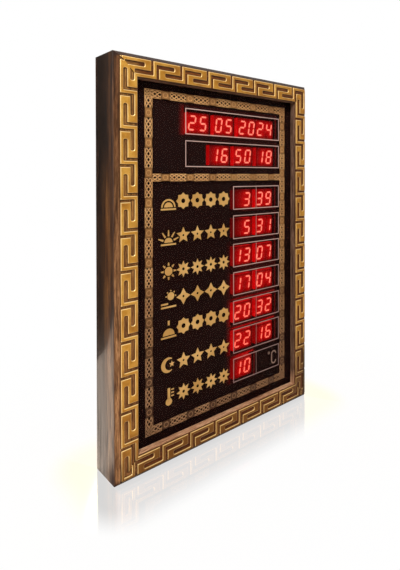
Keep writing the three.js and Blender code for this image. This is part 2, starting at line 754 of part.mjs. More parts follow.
const jackCut = slab(
  jackX - jackWidth / 2 - fitGap, jackX + jackWidth / 2 + fitGap,
  coverFront - cutOverrun, coverBack + cutOverrun,
  jackZ - jackHeight / 2 - fitGap, jackZ + jackHeight / 2 + fitGap,
);
const coverCuts = [...grilleCuts, ...ventCuts, ...buttonCuts, shaftCut, jackCut];
const coverSheet = sheetSolid(coverEdge, coverFront, coverBack);
const rearCover = cut(coverSheet, coverCuts.concat(screwHoles(coverHoles, coverFront, coverBack)));
place(caseGroup, 'rear_cover', rearCover, hardboard);

// Hangers: a strap under the top rail's screw, rolled round the straight bar of a ring
const strapScrewZ = caseHeight - coverScrewLine;
const ringPivotZ = strapScrewZ - strapDrop;
const rollInner = ringWireRadius + fitGap;
const rollOuter = rollInner + strapThickness;
const strapFront = coverBack + fitGap;
const ringPivotY = strapFront + rollOuter;
function strapSolid() {
  const half = strapWidth / 2;
  const strapBack = strapFront + strapThickness;
  const plate = slab(-half, half, strapFront, strapBack, ringPivotZ, strapScrewZ + strapOverhang);
  const roll = new THREE.CylinderGeometry(rollOuter, rollOuter, strapWidth, 16);
  roll.rotateZ(quarterTurn).translate(0, ringPivotY, ringPivotZ);
  const bore = new THREE.CylinderGeometry(rollInner, rollInner, strapWidth + cutOverrun * 2, 16);
  bore.rotateZ(quarterTurn).translate(0, ringPivotY, ringPivotZ);
  const hole = rod(holeRadius, strapFront - cutOverrun, strapBack + cutOverrun, 0, strapScrewZ, screwSides);
  return cut(plate.add(toSolid(roll)), [toSolid(bore), hole]);
}

// The ring is one wire: a straight bar through the roll, then a half-round bow below it
function ringSolid() {
  const half = ringWidth / 2 - ringWireRadius;
  const bowZ = half + ringWireRadius - ringDrop;
  const corners = [[-half, 0], [half, 0]];
  for (let step = 0; step <= ringBowSteps; step += 1) {
    const angle = step * Math.PI / ringBowSteps;
    corners.push([Math.cos(angle) * half, bowZ - Math.sin(angle) * half]);
  }
  const position = [];
  const index = [];
  corners.forEach(([x, z], i) => {
    const before = new THREE.Vector2(...corners.at(i - 1));
    const here = new THREE.Vector2(x, z);
    const after = new THREE.Vector2(...corners[(i + 1) % corners.length]);
    const arriving = here.clone().sub(before).normalize();
    const leaving = after.sub(here).normalize();
    const side = new THREE.Vector2(arriving.y + leaving.y, -arriving.x - leaving.x).normalize();
    const stretch = 1 / (side.x * arriving.y - side.y * arriving.x);
    for (let k = 0; k < ringSides; k += 1) {
      const angle = k * fullCircle / ringSides;
      const across = Math.cos(angle) * ringWireRadius * stretch;
      position.push(x + side.x * across, Math.sin(angle) * ringWireRadius, z + side.y * across);
      const [a, b] = [i * ringSides + k, i * ringSides + (k + 1) % ringSides];
      const turnBy = ringSides * (i === corners.length - 1 ? 1 - corners.length : 1);
      index.push(a, b, a + turnBy, b, b + turnBy, a + turnBy);
    }
  });
  const geometry = new THREE.BufferGeometry();
  geometry.setAttribute('position', new THREE.Float32BufferAttribute(position, 3));
  geometry.setIndex(index);
  return geometry;
}

for (const [side, x] of [['left', -hangerX], ['right', hangerX]]) {
  place(caseGroup, `${side}_hanger_strap`, strapSolid(), steel, x, 0, 0);
  place(caseGroup, `${side}_hanger_ring`, ringSolid(), steel, x, ringPivotY, ringPivotZ);
}

export default azanClock;
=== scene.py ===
# Azan clock: a walnut-sided frame with a gilded key moulding, a smoked panel and red digit displays.
import json
import math

import bmesh
import bpy
from mathutils import Euler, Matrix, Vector


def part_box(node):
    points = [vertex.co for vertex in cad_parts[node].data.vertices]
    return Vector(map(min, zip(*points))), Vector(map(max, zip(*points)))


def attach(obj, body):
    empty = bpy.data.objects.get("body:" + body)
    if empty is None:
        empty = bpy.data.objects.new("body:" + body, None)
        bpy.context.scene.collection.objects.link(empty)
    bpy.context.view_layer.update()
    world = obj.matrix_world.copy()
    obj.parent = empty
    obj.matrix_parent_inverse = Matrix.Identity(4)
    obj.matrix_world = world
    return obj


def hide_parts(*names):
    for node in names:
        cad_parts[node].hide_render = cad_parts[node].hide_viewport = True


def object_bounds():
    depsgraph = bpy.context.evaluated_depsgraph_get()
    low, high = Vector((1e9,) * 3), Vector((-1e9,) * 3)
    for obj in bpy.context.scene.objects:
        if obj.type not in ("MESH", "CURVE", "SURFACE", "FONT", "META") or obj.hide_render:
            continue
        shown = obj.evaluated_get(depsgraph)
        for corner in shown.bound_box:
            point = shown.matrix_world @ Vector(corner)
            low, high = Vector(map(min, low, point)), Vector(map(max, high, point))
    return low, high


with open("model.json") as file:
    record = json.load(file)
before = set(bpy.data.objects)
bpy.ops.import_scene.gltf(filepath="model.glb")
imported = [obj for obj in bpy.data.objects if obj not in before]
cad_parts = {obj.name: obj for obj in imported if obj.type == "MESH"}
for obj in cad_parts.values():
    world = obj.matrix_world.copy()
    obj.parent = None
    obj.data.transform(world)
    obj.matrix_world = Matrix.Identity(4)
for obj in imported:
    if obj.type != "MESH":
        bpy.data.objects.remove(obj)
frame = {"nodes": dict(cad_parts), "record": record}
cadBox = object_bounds()
millimetre = 0.001
caseFace = cadBox[0].y
nodeSlots = {part["node"]: part["material_slot"] for part in frame["record"]["subparts"]}


def at(x, depth, z):  # millimetres: across, behind the front, up
    return Vector((x * millimetre, caseFace + depth * millimetre, z * millimetre))


def size(node):  # a node's corners as (low x, high x, front, back, low z, high z), in millimetres
    low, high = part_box(node)
    edges = low.x, high.x, low.y - caseFace, high.y - caseFace, low.z, high.z
    return [value / millimetre for value in edges]


caseLeft, caseRight, _, caseBack, caseFoot, caseTop = [
    function(size(rail)[place] for rail in ("top_rail", "right_rail", "bottom_rail", "left_rail"))
    for place, function in enumerate((min, max, min, max, min, max))
]
caseWidth = caseRight - caseLeft
caseHeight = caseTop - caseFoot


# Shading and geometry graphs


class Wire:
    def __init__(self, graph, socket):
        self.graph = graph
        self.socket = socket

    def maths(self, operation, *values):
        return self.graph.node("ShaderNodeMath", dict(enumerate(values)), operation=operation)

    def __add__(self, other):
        return self.maths("ADD", self, other)

    def __sub__(self, other):
        return self.maths("SUBTRACT", self, other)

    def __rsub__(self, other):
        return self.maths("SUBTRACT", other, self)

    def __mul__(self, other):
        return self.maths("MULTIPLY", self, other)

    def __truediv__(self, other):
        return self.maths("DIVIDE", self, other)

    __radd__ = __add__
    __rmul__ = __mul__


def paint(*colour):  # a colour seen on screen, 0 to 255, as the renderer's linear values
    shares = [value / 255 for value in colour]
    linear = [((share + 0.055) / 1.055) ** 2.4 if share > 0.04045 else share / 12.92 for share in shares]
    return (*linear, 1.0)


class Graph:  # a colour of three numbers is as seen on screen, one of four is linear
    def __init__(self, tree):
        self.tree = tree

    def node(self, kind, inputs=None, out=0, **settings):
        made = self.tree.nodes.new(kind)
        for name, value in settings.items():
            setattr(made, name, value)
        for name, value in (inputs or {}).items():
            self.feed(made.inputs[name], value)
        return Wire(self, made.outputs[out])

    def feed(self, socket, value):
        if isinstance(value, Wire):
            self.tree.links.new(value.socket, socket)
        elif socket.type == "RGBA" and len(value) == 3:
            socket.default_value = paint(*value)
        else:
            socket.default_value = value

    def axis(self, vector, name):
        return self.node("ShaderNodeSeparateXYZ", {0: vector}, name)

    def vector(self, operation, *values, out=0):
        return self.node("ShaderNodeVectorMath", dict(enumerate(values)), out, operation=operation)

    def between(self, value, low, high, start=0.0, end=1.0, kind="LINEAR"):  # start below low, end above high
        inputs = {0: value, 1: low, 2: high, 3: start, 4: end}
        return self.node("ShaderNodeMapRange", inputs, clamp=True, interpolation_type=kind)

    def below(self, value, low, high, share=1.0):  # share below low, 0 above high
        return self.between(value, low, high, share, 0.0)

    def mix(self, factor, first, second, blend="MIX"):
        inputs = {0: factor, 6: first, 7: second}
        return self.node("ShaderNodeMix", inputs, 2, data_type="RGBA", blend_type=blend)

    def times(self, first, second, factor=1.0):
        return self.mix(factor, first, second, "MULTIPLY")


shaderSockets = {
    "colour": "Base Color", "roughness": "Roughness", "metallic": "Metallic", "alpha": "Alpha",
    "specular": "Specular IOR Level", "normal": "Normal", "coat": "Coat Weight", "coatIor": "Coat IOR",
    "coatRoughness": "Coat Roughness", "glow": "Emission Color", "glowStrength": "Emission Strength",
}


class Finish(Graph):
    def __init__(self, name, **looks):
        self.material = bpy.data.materials.new(name)
        self.material.use_nodes = True
        super().__init__(self.material.node_tree)
        self.shader = self.tree.nodes["Principled BSDF"]
        self.set(**looks)

    def set(self, **looks):
        for name, value in looks.items():
            self.feed(self.shader.inputs[shaderSockets[name]], value)

    def mapped(self, source, scale, turn=(0, 0, 0)):
        spot = self.node("ShaderNodeTexCoord", out=source)
        return self.node("ShaderNodeMapping", {"Vector": spot, "Scale": scale, "Rotation": turn})

    def place(self, scale=(1, 1, 1), turn=(0, 0, 0)):
        return self.mapped("Object", scale, turn)

    def strip(self, scale=(1, 1, 1)):
        return self.mapped("UV", scale)

    def height(self):
        return self.axis(self.place(), "Z")

    def noise(self, vector, scale, detail=2.0, roughness=0.5, distortion=0.0):
        inputs = {"Vector": vector, "Scale": scale, "Detail": detail, "Roughness": roughness}
        return self.node("ShaderNodeTexNoise", {**inputs, "Distortion": distortion})

    def ramp(self, factor, *stops):
        made = self.node("ShaderNodeValToRGB", {0: factor})
        elements = made.socket.node.color_ramp.elements
        while len(elements) < len(stops):
            elements.new(1.0)
        for element, (place, colour) in zip(elements, stops):
            element.position = place
            element.color = paint(*colour)
        return made

    def attribute(self, name):
        return self.node("ShaderNodeAttribute", out="Fac", attribute_name=name)

    def bump(self, height, distance, strength=1.0):
        inputs = {"Strength": strength, "Distance": distance, "Height": height}
        self.set(normal=self.node("ShaderNodeBump", inputs))
        return self.material


# Finishes

white = (255, 255, 255)
walnutLooks = {  # the colour from the back edge to the front edge of the side, at its foot, middle and head; lighter at the foot as painted reflection of the floor, darker at the head as painted shade
    "grainScale": (0.9, 14, 1), "wobble": 0.05, "drift": 0.08, "gloss": 0.3,
    "film": {"coatIor": 1.75, "coatRoughness": 0.11},
    "foot": [(0.0, (72, 57, 49)), (0.18, (64, 50, 43)), (0.25, (92, 69, 56)),
             (0.36, (184, 152, 118)), (0.47, (148, 116, 88))],
    "middle": [(0.0, (14, 10, 8)), (0.03, (82, 60, 45)), (0.13, (69, 47, 32)),
               (0.21, (86, 58, 33)), (0.316, (172, 118, 62)), (0.42, (100, 65, 34))],
    "head": [(0.0, (14, 10, 8)), (0.04, (84, 60, 46)), (0.11, (54, 38, 26)),
             (0.27, (54, 35, 21)), (0.40, (102, 67, 40))],
    # levels: the heights where the painted light changes from foot to middle and from middle to head
    "levels": {"middle": (0.10, 0.18), "head": (0.31, 0.39)},
    "streaks": [(0.36, (84, 68, 60)), (0.48, (186, 172, 162)), (0.60, white)],
    "fibres": [(0.34, (140, 128, 120)), (0.58, white)],
    # painted shade: a dark patch at the foot of the side, on its front half
    "burn": {"height": (0.010, 0.032), "across": (0.24, 0.44), "colour": (46, 25, 18)},
    "rubbed": (0.455, 0.472, 0.9),  # the front edge has lost its coat
}


def walnutFoil():
    looks, burn = walnutLooks, walnutLooks["burn"]
    finish = Finish("walnutFoil", specular=0.5, **looks["film"])
    across = finish.axis(finish.strip(), "Y")
    height = finish.height()
    wander = finish.noise(finish.strip((0.9, 5, 1)), 1.0, 3.0) - 0.5
    share = across + wander * looks["wobble"]
    base = finish.ramp(share, *looks["foot"])
    # painted light: lighter at the foot, darker at the middle and head
    for name, (start, end) in looks["levels"].items():
        above = finish.between(height + wander * looks["drift"], start, end)
        base = finish.mix(above, base, finish.ramp(share, *looks[name]))
    streak = finish.noise(finish.strip(looks["grainScale"]), 1.6, 5.0, 0.6, 0.35)
    fibre = finish.noise(finish.strip((7, 230, 1)), 1.0, 3.0, 0.7)
    grained = finish.times(base, finish.ramp(streak, *looks["streaks"]))
    grained = finish.times(grained, finish.ramp(fibre, *looks["fibres"]))
    # painted shade at the foot of the side: darker, rougher and without coat
    inSideFootShade = finish.below(height + wander * 0.02, *burn["height"]) * finish.between(across, *burn["across"])
    edge = 1 - finish.between(across, *looks["rubbed"][:2], 0.0, looks["rubbed"][2])
    finish.set(colour=finish.mix(inSideFootShade * 0.92, grained, burn["colour"]),
               roughness=looks["gloss"] + fibre * 0.12 + inSideFootShade * 0.5,
               coat=finish.between(streak, 0.25, 0.6) * (1 - inSideFootShade) * edge)
    return finish.bump(fibre, 0.00008, 0.5)


def paintedShadeAwayFromLeft(finish, shade):  # painted shade: a colour to multiply by, everywhere but on the left rail, so the other rails come out darker
    across = finish.axis(finish.place(), "X")
    away = finish.between(across, caseLeft * 0.86 * millimetre, caseLeft * 0.80 * millimetre)
    return finish.mix(away, (255, 250, 238), shade)


mouldingLooks = {
    "stops": (0.34, 0.48, 0.62), "fibres": [(0.35, (170, 144, 124)), (0.62, white)],
    # painted shade: dark bands at the very top and foot of the case
    "topEnd": (0.4925, 0.495, 0.0, 0.85), "footEnd": (0.003, 0.0085, 0.88), "endColour": (36, 20, 15),
}


def mouldingBrown(name, low, high, foot=0.12, top=0.42, shade=white):
    # low and high: three colours each, for the wood below the height foot and above the height top; the change
    # with height is painted light and shade, and shade is painted shade away from the left rail
    looks = mouldingLooks
    finish = Finish(name, specular=0.18)
    streak = finish.noise(finish.strip((2.2, 30, 1)), 1.0, 5.0, 0.6, 0.3)
    fibre = finish.noise(finish.strip((10, 160, 1)), 1.0, 2.0, 0.6)
    height = finish.height()
    lower, upper = [finish.ramp(streak, *zip(looks["stops"], colours)) for colours in (low, high)]
    # painted light and shade: the colour changes with height
    grained = finish.mix(finish.between(height, foot, top), lower, upper)
    grained = finish.times(grained, finish.ramp(fibre, *looks["fibres"]))
    # painted shade at the very top and foot of the case
    ends = finish.between(height, *looks["topEnd"]) + finish.below(height, *looks["footEnd"])
    finish.set(colour=finish.mix(ends, finish.times(grained, paintedShadeAwayFromLeft(finish, shade)), looks["endColour"]),
               roughness=0.42 + fibre * 0.15)
    return finish.bump(fibre, 0.0001, 0.5)


def rawWood():
    finish = Finish("rawWood", roughness=0.72)
    streak = finish.noise(finish.strip((3, 40, 1)), 1.0, 6.0, 0.6, 0.5)
    pores = finish.noise(finish.strip((14, 190, 1)), 1.0, 2.0)
    base = finish.ramp(streak, (0.30, (150, 112, 74)), (0.55, (186, 148, 104)), (0.72, (204, 170, 126)))
    specks = finish.ramp(pores, (0.4, (120, 84, 54)), (0.6, (212, 180, 138)))
    finish.set(colour=finish.mix(0.35, base, specks))
    return finish.bump(pores, 0.00015, 0.6)


gildingLooks = {
    # shade and rimShade: painted shade on the top, right and bottom rails
    "gold": [(0.32, (160, 110, 34)), (0.50, (190, 140, 50)), (0.68, (208, 164, 76))], "shade": (228, 216, 176),
    "rim": (248, 220, 158), "rimShade": (238, 226, 204), "right": (0.12, 0.136), "corner": (0.1505, 0.1535),
    # two heights, how much shows below them, the colour and where; all painted shade: darker toward the foot,
    # on the right rail's lower part, and in dark lines at the bottom edge and the right corner
    "tarnish": [(0.02, 0.1, 0.5, (130, 84, 30), ""), (0.024, 0.032, 0.62, (104, 64, 16), ""),
                (0.05, 0.13, 0.7, (92, 60, 20), "right")],
    "dullRims": [(0.05, 0.11, 0.4, (86, 54, 18), "right")],
    "soot": [(0.0062, 0.0078, 0.85, (34, 20, 8), ""), (0.07, 0.09, 0.8, (34, 20, 8), "corner")],
    # the sunk walls' patina, and its painted shadow on faces that look down
    "cut": (0.3, 1.0), "cutColours": ((98, 60, 24), (30, 11, 4)),
    "grit": (0.60, 0.74, 0.0, 0.4), "gritColour": (120, 84, 44),
}


def gilding():
    looks = gildingLooks
    finish = Finish("gilding", metallic=0.55)
    spot = finish.place()
    across, depth, height = [finish.axis(spot, name) for name in "XYZ"]
    patches = finish.noise(spot, 60.0, 4.0, 0.6)
    grit = finish.noise(spot, 900.0, 2.0, 0.6)
    places = {name: finish.between(across, *looks[name]) for name in ("right", "corner")}

    def lower(base, layers):
        for start, end, share, colour, place in layers:
            amount = finish.below(height, start, end, share)
            base = finish.mix(amount * places[place] if place else amount, base, colour)
        return base

    # painted shade: the gold darker toward the foot and on the right rail's lower part
    shaded = lower(finish.ramp(patches, *looks["gold"]), looks["tarnish"])
    shaded = finish.times(shaded, paintedShadeAwayFromLeft(finish, looks["shade"]))
    rim = finish.times(looks["rim"], paintedShadeAwayFromLeft(finish, looks["rimShade"]))
    # pale rims: worn gilding on every edge, with a painted highlight on the edges that face up and left
    lit = finish.mix(finish.attribute("rim") * finish.attribute("lit"), shaded, rim)
    # the sunk walls' patina, with a painted shadow where they face down
    patinaAndShadow = finish.mix(finish.attribute("under"), *looks["cutColours"])
    deep = finish.between((depth - caseFace) / millimetre, *looks["cut"])
    # painted shade on the lower right rims, and painted shadow lines at the bottom edge and the right corner
    agedAndShadowed = lower(finish.mix(deep, lower(lit, looks["dullRims"]), patinaAndShadow), looks["soot"])
    finish.set(colour=finish.mix(finish.between(grit, *looks["grit"]), agedAndShadowed, looks["gritColour"]),
               roughness=0.36 + patches * 0.14)
    return finish.bump(patches + grit * 0.25, 0.0003, 0.5)


def smokedPanel():
    finish = Finish("smokedPanel", specular=0.035, alpha=0.3)
    haze = finish.noise(finish.place(), 14.0, 3.0)
    colour = finish.ramp(haze, (0.3, (28, 11, 9)), (0.7, (38, 15, 12)))
    finish.set(colour=colour, roughness=0.07 + haze * 0.05)
    return finish.material


def inkFinish(name, dark, light, metallic, lower=white):  # lower: painted shade multiplied in toward the foot of the panel
    finish = Finish(name, metallic=metallic, roughness=0.42, specular=0.3)
    patches = finish.noise(finish.place(), 26.0, 3.0)
    grain = finish.noise(finish.place(), 700.0, 2.0)
    base = finish.ramp(patches, (0.32, dark), (0.68, light))
    # painted shade toward the foot of the panel
    base = finish.times(base, lower, finish.below(finish.height(), 0.1, 0.3))
    finish.set(colour=finish.mix(finish.between(grain, 0.58, 0.75, 0.0, 0.35), base, dark))
    return finish.bump(grain, 0.00003, 0.4)


def displayRed(name, dark, light):
    finish = Finish(name, roughness=0.45, specular=0.08, glowStrength=1.35)
    speckle = finish.noise(finish.place(), 260.0, 2.0)
    glow = finish.attribute("glow") * (0.97 + speckle * 0.06)
    finish.set(colour=finish.ramp(speckle, (0.3, dark), (0.7, light)),
               glow=finish.mix(glow, (0.0, 0.0, 0.0, 1.0), (1.0, 0.0, 0.002, 1.0)))
    return finish.material


def litSegment():
    low, high, edge = (1.0, 0.14, 0.09, 1.0), (1.0, 0.205, 0.14, 1.0), (1.0, 0.08, 0.045, 1.0)
    finish = Finish("litSegment", roughness=0.4, colour=(255, 150, 130), glowStrength=2.1)
    core = finish.mix(finish.between(finish.height(), 0.12, 0.24), low, high)
    finish.set(glow=finish.mix(finish.attribute("rim"), core, edge))
    return finish.material


def speckled(name, dark, light, roughness, metallic=0.0, scale=400.0, relief=0.00004, specular=0.5):
    finish = Finish(name, metallic=metallic, specular=specular)
    grain = finish.noise(finish.place(), scale, 3.0)
    broad = finish.noise(finish.place(), scale / 12, 2.0)
    finish.set(colour=finish.ramp(grain * 0.5 + broad * 0.5, (0.35, dark), (0.65, light)),
               roughness=roughness + broad * 0.12)
    return finish.bump(grain, relief, 0.6)


def hardboard():
    finish = Finish("rearHardboard", specular=0.35)
    fibres = finish.noise(finish.place((1, 1, 2.4)), 420.0, 4.0, 0.7, 0.6)
    broad = finish.noise(finish.place(), 7.0, 2.0)
    base = finish.ramp(fibres, (0.34, (98, 68, 44)), (0.52, (116, 82, 54)), (0.68, (132, 96, 66)))
    finish.set(colour=finish.mix(broad * 0.25, base, (104, 74, 50)), roughness=0.42 + fibres * 0.2)
    return finish.bump(fibres, 0.00005, 0.5)


def circuitGreen():
    finish = Finish("circuitGreen", specular=0.5, roughness=0.34)
    tracks = finish.node("ShaderNodeTexBrick", {
        "Vector": finish.place(turn=(math.pi / 2, 0, 0)), "Color1": (20, 92, 48), "Color2": (26, 108, 58),
        "Mortar": (70, 128, 70), "Scale": 160.0, "Mortar Size": 0.045, "Bias": 0.0, "Brick Width": 0.9,
        "Row Height": 0.32}, offset=0.37, squash=0.7)
    broad = finish.noise(finish.place(), 30.0, 2.0)
    finish.set(colour=finish.mix(broad * 0.4, tracks, (14, 66, 34)))
    return finish.material


slotFinishes = {
    "walnut_rail": walnutFoil(),
    "gilding": gilding(),
    "smoked_panel": smokedPanel(),
    "gold_print": inkFinish("goldPrint", (176, 134, 66), (208, 170, 104), 0.2),
    # grey print: painted shade toward the foot of the panel
    "grey_print": inkFinish("greyPrint", (172, 146, 138), (196, 168, 160), 0.0, (196, 190, 194)),
    "lit_segment": litSegment(),
    "black_carrier": speckled("blackCarrier", (34, 22, 20), (42, 28, 26), 0.7, specular=0.06),
    "rear_hardboard": hardboard(),
    "circuit_board": circuitGreen(),
    "red_display": displayRed("displayRed", (58, 4, 4), (70, 7, 6)),
    "black_plastic": speckled("blackPlastic", (30, 30, 31), (44, 44, 46), 0.42, 0.0, 900.0),
    "grey_plastic": speckled("greyPlastic", (176, 178, 180), (196, 198, 200), 0.4, 0.0, 900.0),
    "zinc_steel": speckled("zincSteel", (176, 178, 180), (206, 207, 208), 0.24, 0.9, 200.0),
    "brass_standoff": speckled("brassStandoff", (186, 146, 76), (214, 176, 104), 0.26, 0.9, 300.0),
    "heat_sink": speckled("heatSink", (160, 162, 166), (186, 188, 192), 0.34, 0.8, 300.0),
    "speaker_paper": speckled("speakerPaper", (34, 32, 30), (52, 49, 46), 0.75, 0.0, 700.0, 0.0001),
}
# band inks: painted shade toward the foot of the panel
bandInk = inkFinish("beigePrint", (168, 122, 74), (200, 154, 98), 0.0, (198, 196, 214))
squareInk = inkFinish("darkGoldPrint", (124, 84, 42), (154, 110, 60), 0.1, (126, 112, 110))
unitInk = inkFinish("dimPrint", (124, 100, 88), (144, 118, 104), 0.0)
haloFinish = displayRed("carrierGlow", (30, 20, 18), (38, 26, 24))
# bevel and key floor: painted light and shade with height, and painted shade away from the left rail
bevelFinish = mouldingBrown("bevelBrown", [(92, 62, 42), (156, 116, 80), (198, 154, 112)],
                            [(44, 27, 12), (78, 50, 25), (110, 74, 45)], shade=(176, 170, 166))
floorFinish = mouldingBrown("keyFloor", [(84, 52, 28), (132, 90, 50), (164, 118, 72)],
                            [(92, 64, 32), (136, 100, 52), (168, 130, 74)], shade=(186, 144, 104))
# inner ledge: much lighter at the foot, as painted light on the bottom rail's upward-facing ledge
innerFinish = mouldingBrown("innerBrown", [(150, 104, 76), (210, 160, 122), (236, 192, 154)],
                            [(66, 48, 39), (108, 84, 70), (138, 110, 92)], 0.028, 0.05)
railFinishes = [slotFinishes["walnut_rail"], bevelFinish, rawWood(), floorFinish, innerFinish]
print("finishes:", len(bpy.data.materials))


# Meshes


def makeObject(name, data):
    piece = bpy.data.objects.new(name, data)
    bpy.context.scene.collection.objects.link(piece)
    return piece


def makeMesh(name, points, faces, edges=()):
    mesh = bpy.data.meshes.new(name)
    mesh.from_pydata([tuple(point) for point in points], edges, faces)
    return mesh


def makePiece(name, points, faces, materials, smooth=35, **attributes):
    mesh = makeMesh(name, points, faces)
    for material in materials:
        mesh.materials.append(material)
    piece = makeObject(name, mesh)
    tidyMesh(mesh, smooth)
    for label, values in attributes.items():
        mesh.attributes.new(label, "FLOAT", "POINT").data.foreach_set("value", values)
    return piece


def shadeSmooth(mesh, angle):  # edges sharper than the angle stay sharp
    for polygon in mesh.polygons:
        polygon.use_smooth = True
    mesh.set_sharp_from_angle(angle=math.radians(angle))


def tidyMesh(mesh, smooth):
    shape = bmesh.new()
    shape.from_mesh(mesh)
    bmesh.ops.recalc_face_normals(shape, faces=shape.faces)
    shape.to_mesh(mesh)
    shape.free()
    shadeSmooth(mesh, smooth)


def fit(piece, slot, *nodes, body="case"):
    if nodes:
        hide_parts(*nodes)
    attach(piece, body)
    return piece


def walls(count, rings, start=0):  # faces between rings of points that follow each other in the list
    return [[low + index, low + (index + 1) % count, low + count + (index + 1) % count, low + count + index]
            for low in range(start, start + (rings - 1) * count, count) for index in range(count)]


def closed(count, rings, start=0):  # the same, with a face over the first and the last ring
    last = start + (rings - 1) * count
    ends = [[*reversed(range(start, start + count))], [*range(last, last + count)]]
    return walls(count, rings, start) + ends


def roundedCorners(points, radii, steps=4):
    outline = []
    for index, radius in enumerate(radii):
        corner = Vector(points[index])
        if radius <= 0:
            outline.append(corner)
            continue
        back = (Vector(points[index - 1]) - corner).normalized()
        on = (Vector(points[(index + 1) % len(points)]) - corner).normalized()
        half = back.angle(on) / 2
        centre = corner + (back + on).normalized() * (radius / math.sin(half))
        first = corner + back * (radius / math.tan(half)) - centre
        last = corner + on * (radius / math.tan(half)) - centre
        for step in range(steps + 1):
            outline.append(centre + first.lerp(last, step / steps).normalized() * radius)
    return outline


def thickPlate(name, outlines, depth, thickness, material):
    # flat outlines in (x, z) millimetres, each a list of points, with straight walls behind them
    points, faces = [], []
    for outline in outlines:
        faces += closed(len(outline), 2, len(points))
        points += [at(x, depth + back, z) for back in (0, thickness) for x, z in outline]
    return makePiece(name, points, faces, [material])


# Flat outlines, in (x, z) millimetres


def polar(x, z, radius, degrees):
    return (x + radius * math.cos(math.radians(degrees)), z + radius * math.sin(math.radians(degrees)))


def arc(x, z, radius, first, last, steps):
    return [polar(x, z, radius, first + (last - first) * step / steps) for step in range(steps + 1)]


def setDown(outline, x, z, degrees):  # an outline given as (along, across), turned and moved
    cosine, sine = math.cos(math.radians(degrees)), math.sin(math.radians(degrees))
    return [(x + along * cosine - across * sine, z + along * sine + across * cosine)
            for along, across in outline]


def bar(left, right, bottom, top):
    return [(left, bottom), (right, bottom), (right, top), (left, top)]


def pieced(outer, inner, around=True):  # four-sided pieces between two lines of points
    count = len(outer)
    return [[outer[step], outer[(step + 1) % count], inner[(step + 1) % count], inner[step]]
            for step in range(count if around else count - 1)]


def lineFrame(left, right, bottom, top, width):
    inner = bar(left + width, right - width, bottom + width, top - width)
    return pieced(bar(left, right, bottom, top), inner)


def ringOutlines(x, z, outer, inner, first=0.0, last=360.0, steps=32):
    return pieced(arc(x, z, outer, first, last, steps), arc(x, z, inner, first, last, steps), False)


def starOutline(x, z, points, outer, inner):
    return [polar(x, z, inner if step % 2 else outer, 90 + 180 * step / points) for step in range(points * 2)]


def rays(x, z, first, last, count, near, far, width):
    ray = [(near, -width / 2), (far, -width / 4), (far, width / 4), (near, width / 2)]
    return [setDown(ray, x, z, first + (last - first) * step / (count - 1)) for step in range(count)]


# Case rails

railLooks = {
    "profile": [(0, 54), (0, 7), (5.5, 1.4), (27.3, 1.4), (27.3, 2.4), (28.5, 2.4), (28.5, 11),
                (22.5, 11), (22.5, 14), (16.5, 14), (16.5, 46), (8.5, 46), (8.5, 54)],
    "radii": [0.6, 1.6, 1.0, 0.25, 0.25, 0.5, 0.3, 0.3, 0.3, 0.3, 0.3, 0.3, 0.5], "steps": 4,
    "finishes": [0, 1, 3, 3, 4, 4, 2, 2, 2, 2, 2, 2, 2],
    "mitreGap": 0.1, "turns": {"top_rail": 0, "right_rail": 1, "bottom_rail": 2, "left_rail": 3},
    "keyPhases": {"top_rail": 0.238, "right_rail": 0.224, "bottom_rail": 0.501, "left_rail": 0.15},
    "grainLength": 100, "grainShift": 7,
}


def railPoint(rail, along, across, depth):
    turns = railLooks["turns"][rail]
    x, z = [(0, caseTop), (caseRight, caseHeight / 2), (0, caseFoot), (caseLeft, caseHeight / 2)][turns]
    angle = turns * math.pi / 2
    cosine, sine = math.cos(angle), math.sin(angle)
    return at(x + along * cosine - across * sine, depth, z - along * sine - across * cosine)


def railLength(rail):
    return caseHeight if railLooks["turns"][rail] % 2 else caseWidth


def makeRail(rail):
    looks, steps = railLooks, railLooks["steps"]
    outline = roundedCorners(looks["profile"], looks["radii"], steps)
    count = len(outline)
    run = [0.0]
    for index in range(count):
        run.append(run[-1] + (outline[(index + 1) % count] - outline[index]).length)
    half = railLength(rail) / 2 - looks["mitreGap"] / 2
    points = [railPoint(rail, end * (half - across), across, depth)
              for end in (-1, 1) for across, depth in outline]
    piece = makePiece("dressed_" + rail, points, closed(count, 2), railFinishes, 30)
    layer = piece.data.uv_layers.new(name="strip")
    for polygon in piece.data.polygons:
        corner, step = divmod(polygon.index, steps + 1)
        polygon.material_index = looks["finishes"][corner - (step < steps)] if polygon.index < count else 2
        for loop in polygon.loop_indices:
            end, place = divmod(piece.data.loops[loop].vertex_index, count)
            along, across = (half - outline[place].x) * (1 if end else -1), run[place]
            if polygon.index == count - 1 and place == 0:
                across = run[count]
            elif polygon.index >= count:
                along, across = outline[place]
            spot = along / looks["grainLength"] + looks["turns"][rail] * looks["grainShift"]
            layer.data[loop].uv = (spot, across / looks["grainLength"])
    return fit(piece, "walnut_rail", rail)


for rail in railLooks["turns"]:
    makeRail(rail)
print("rails:", len(railLooks["turns"]))


# Gilded key relief

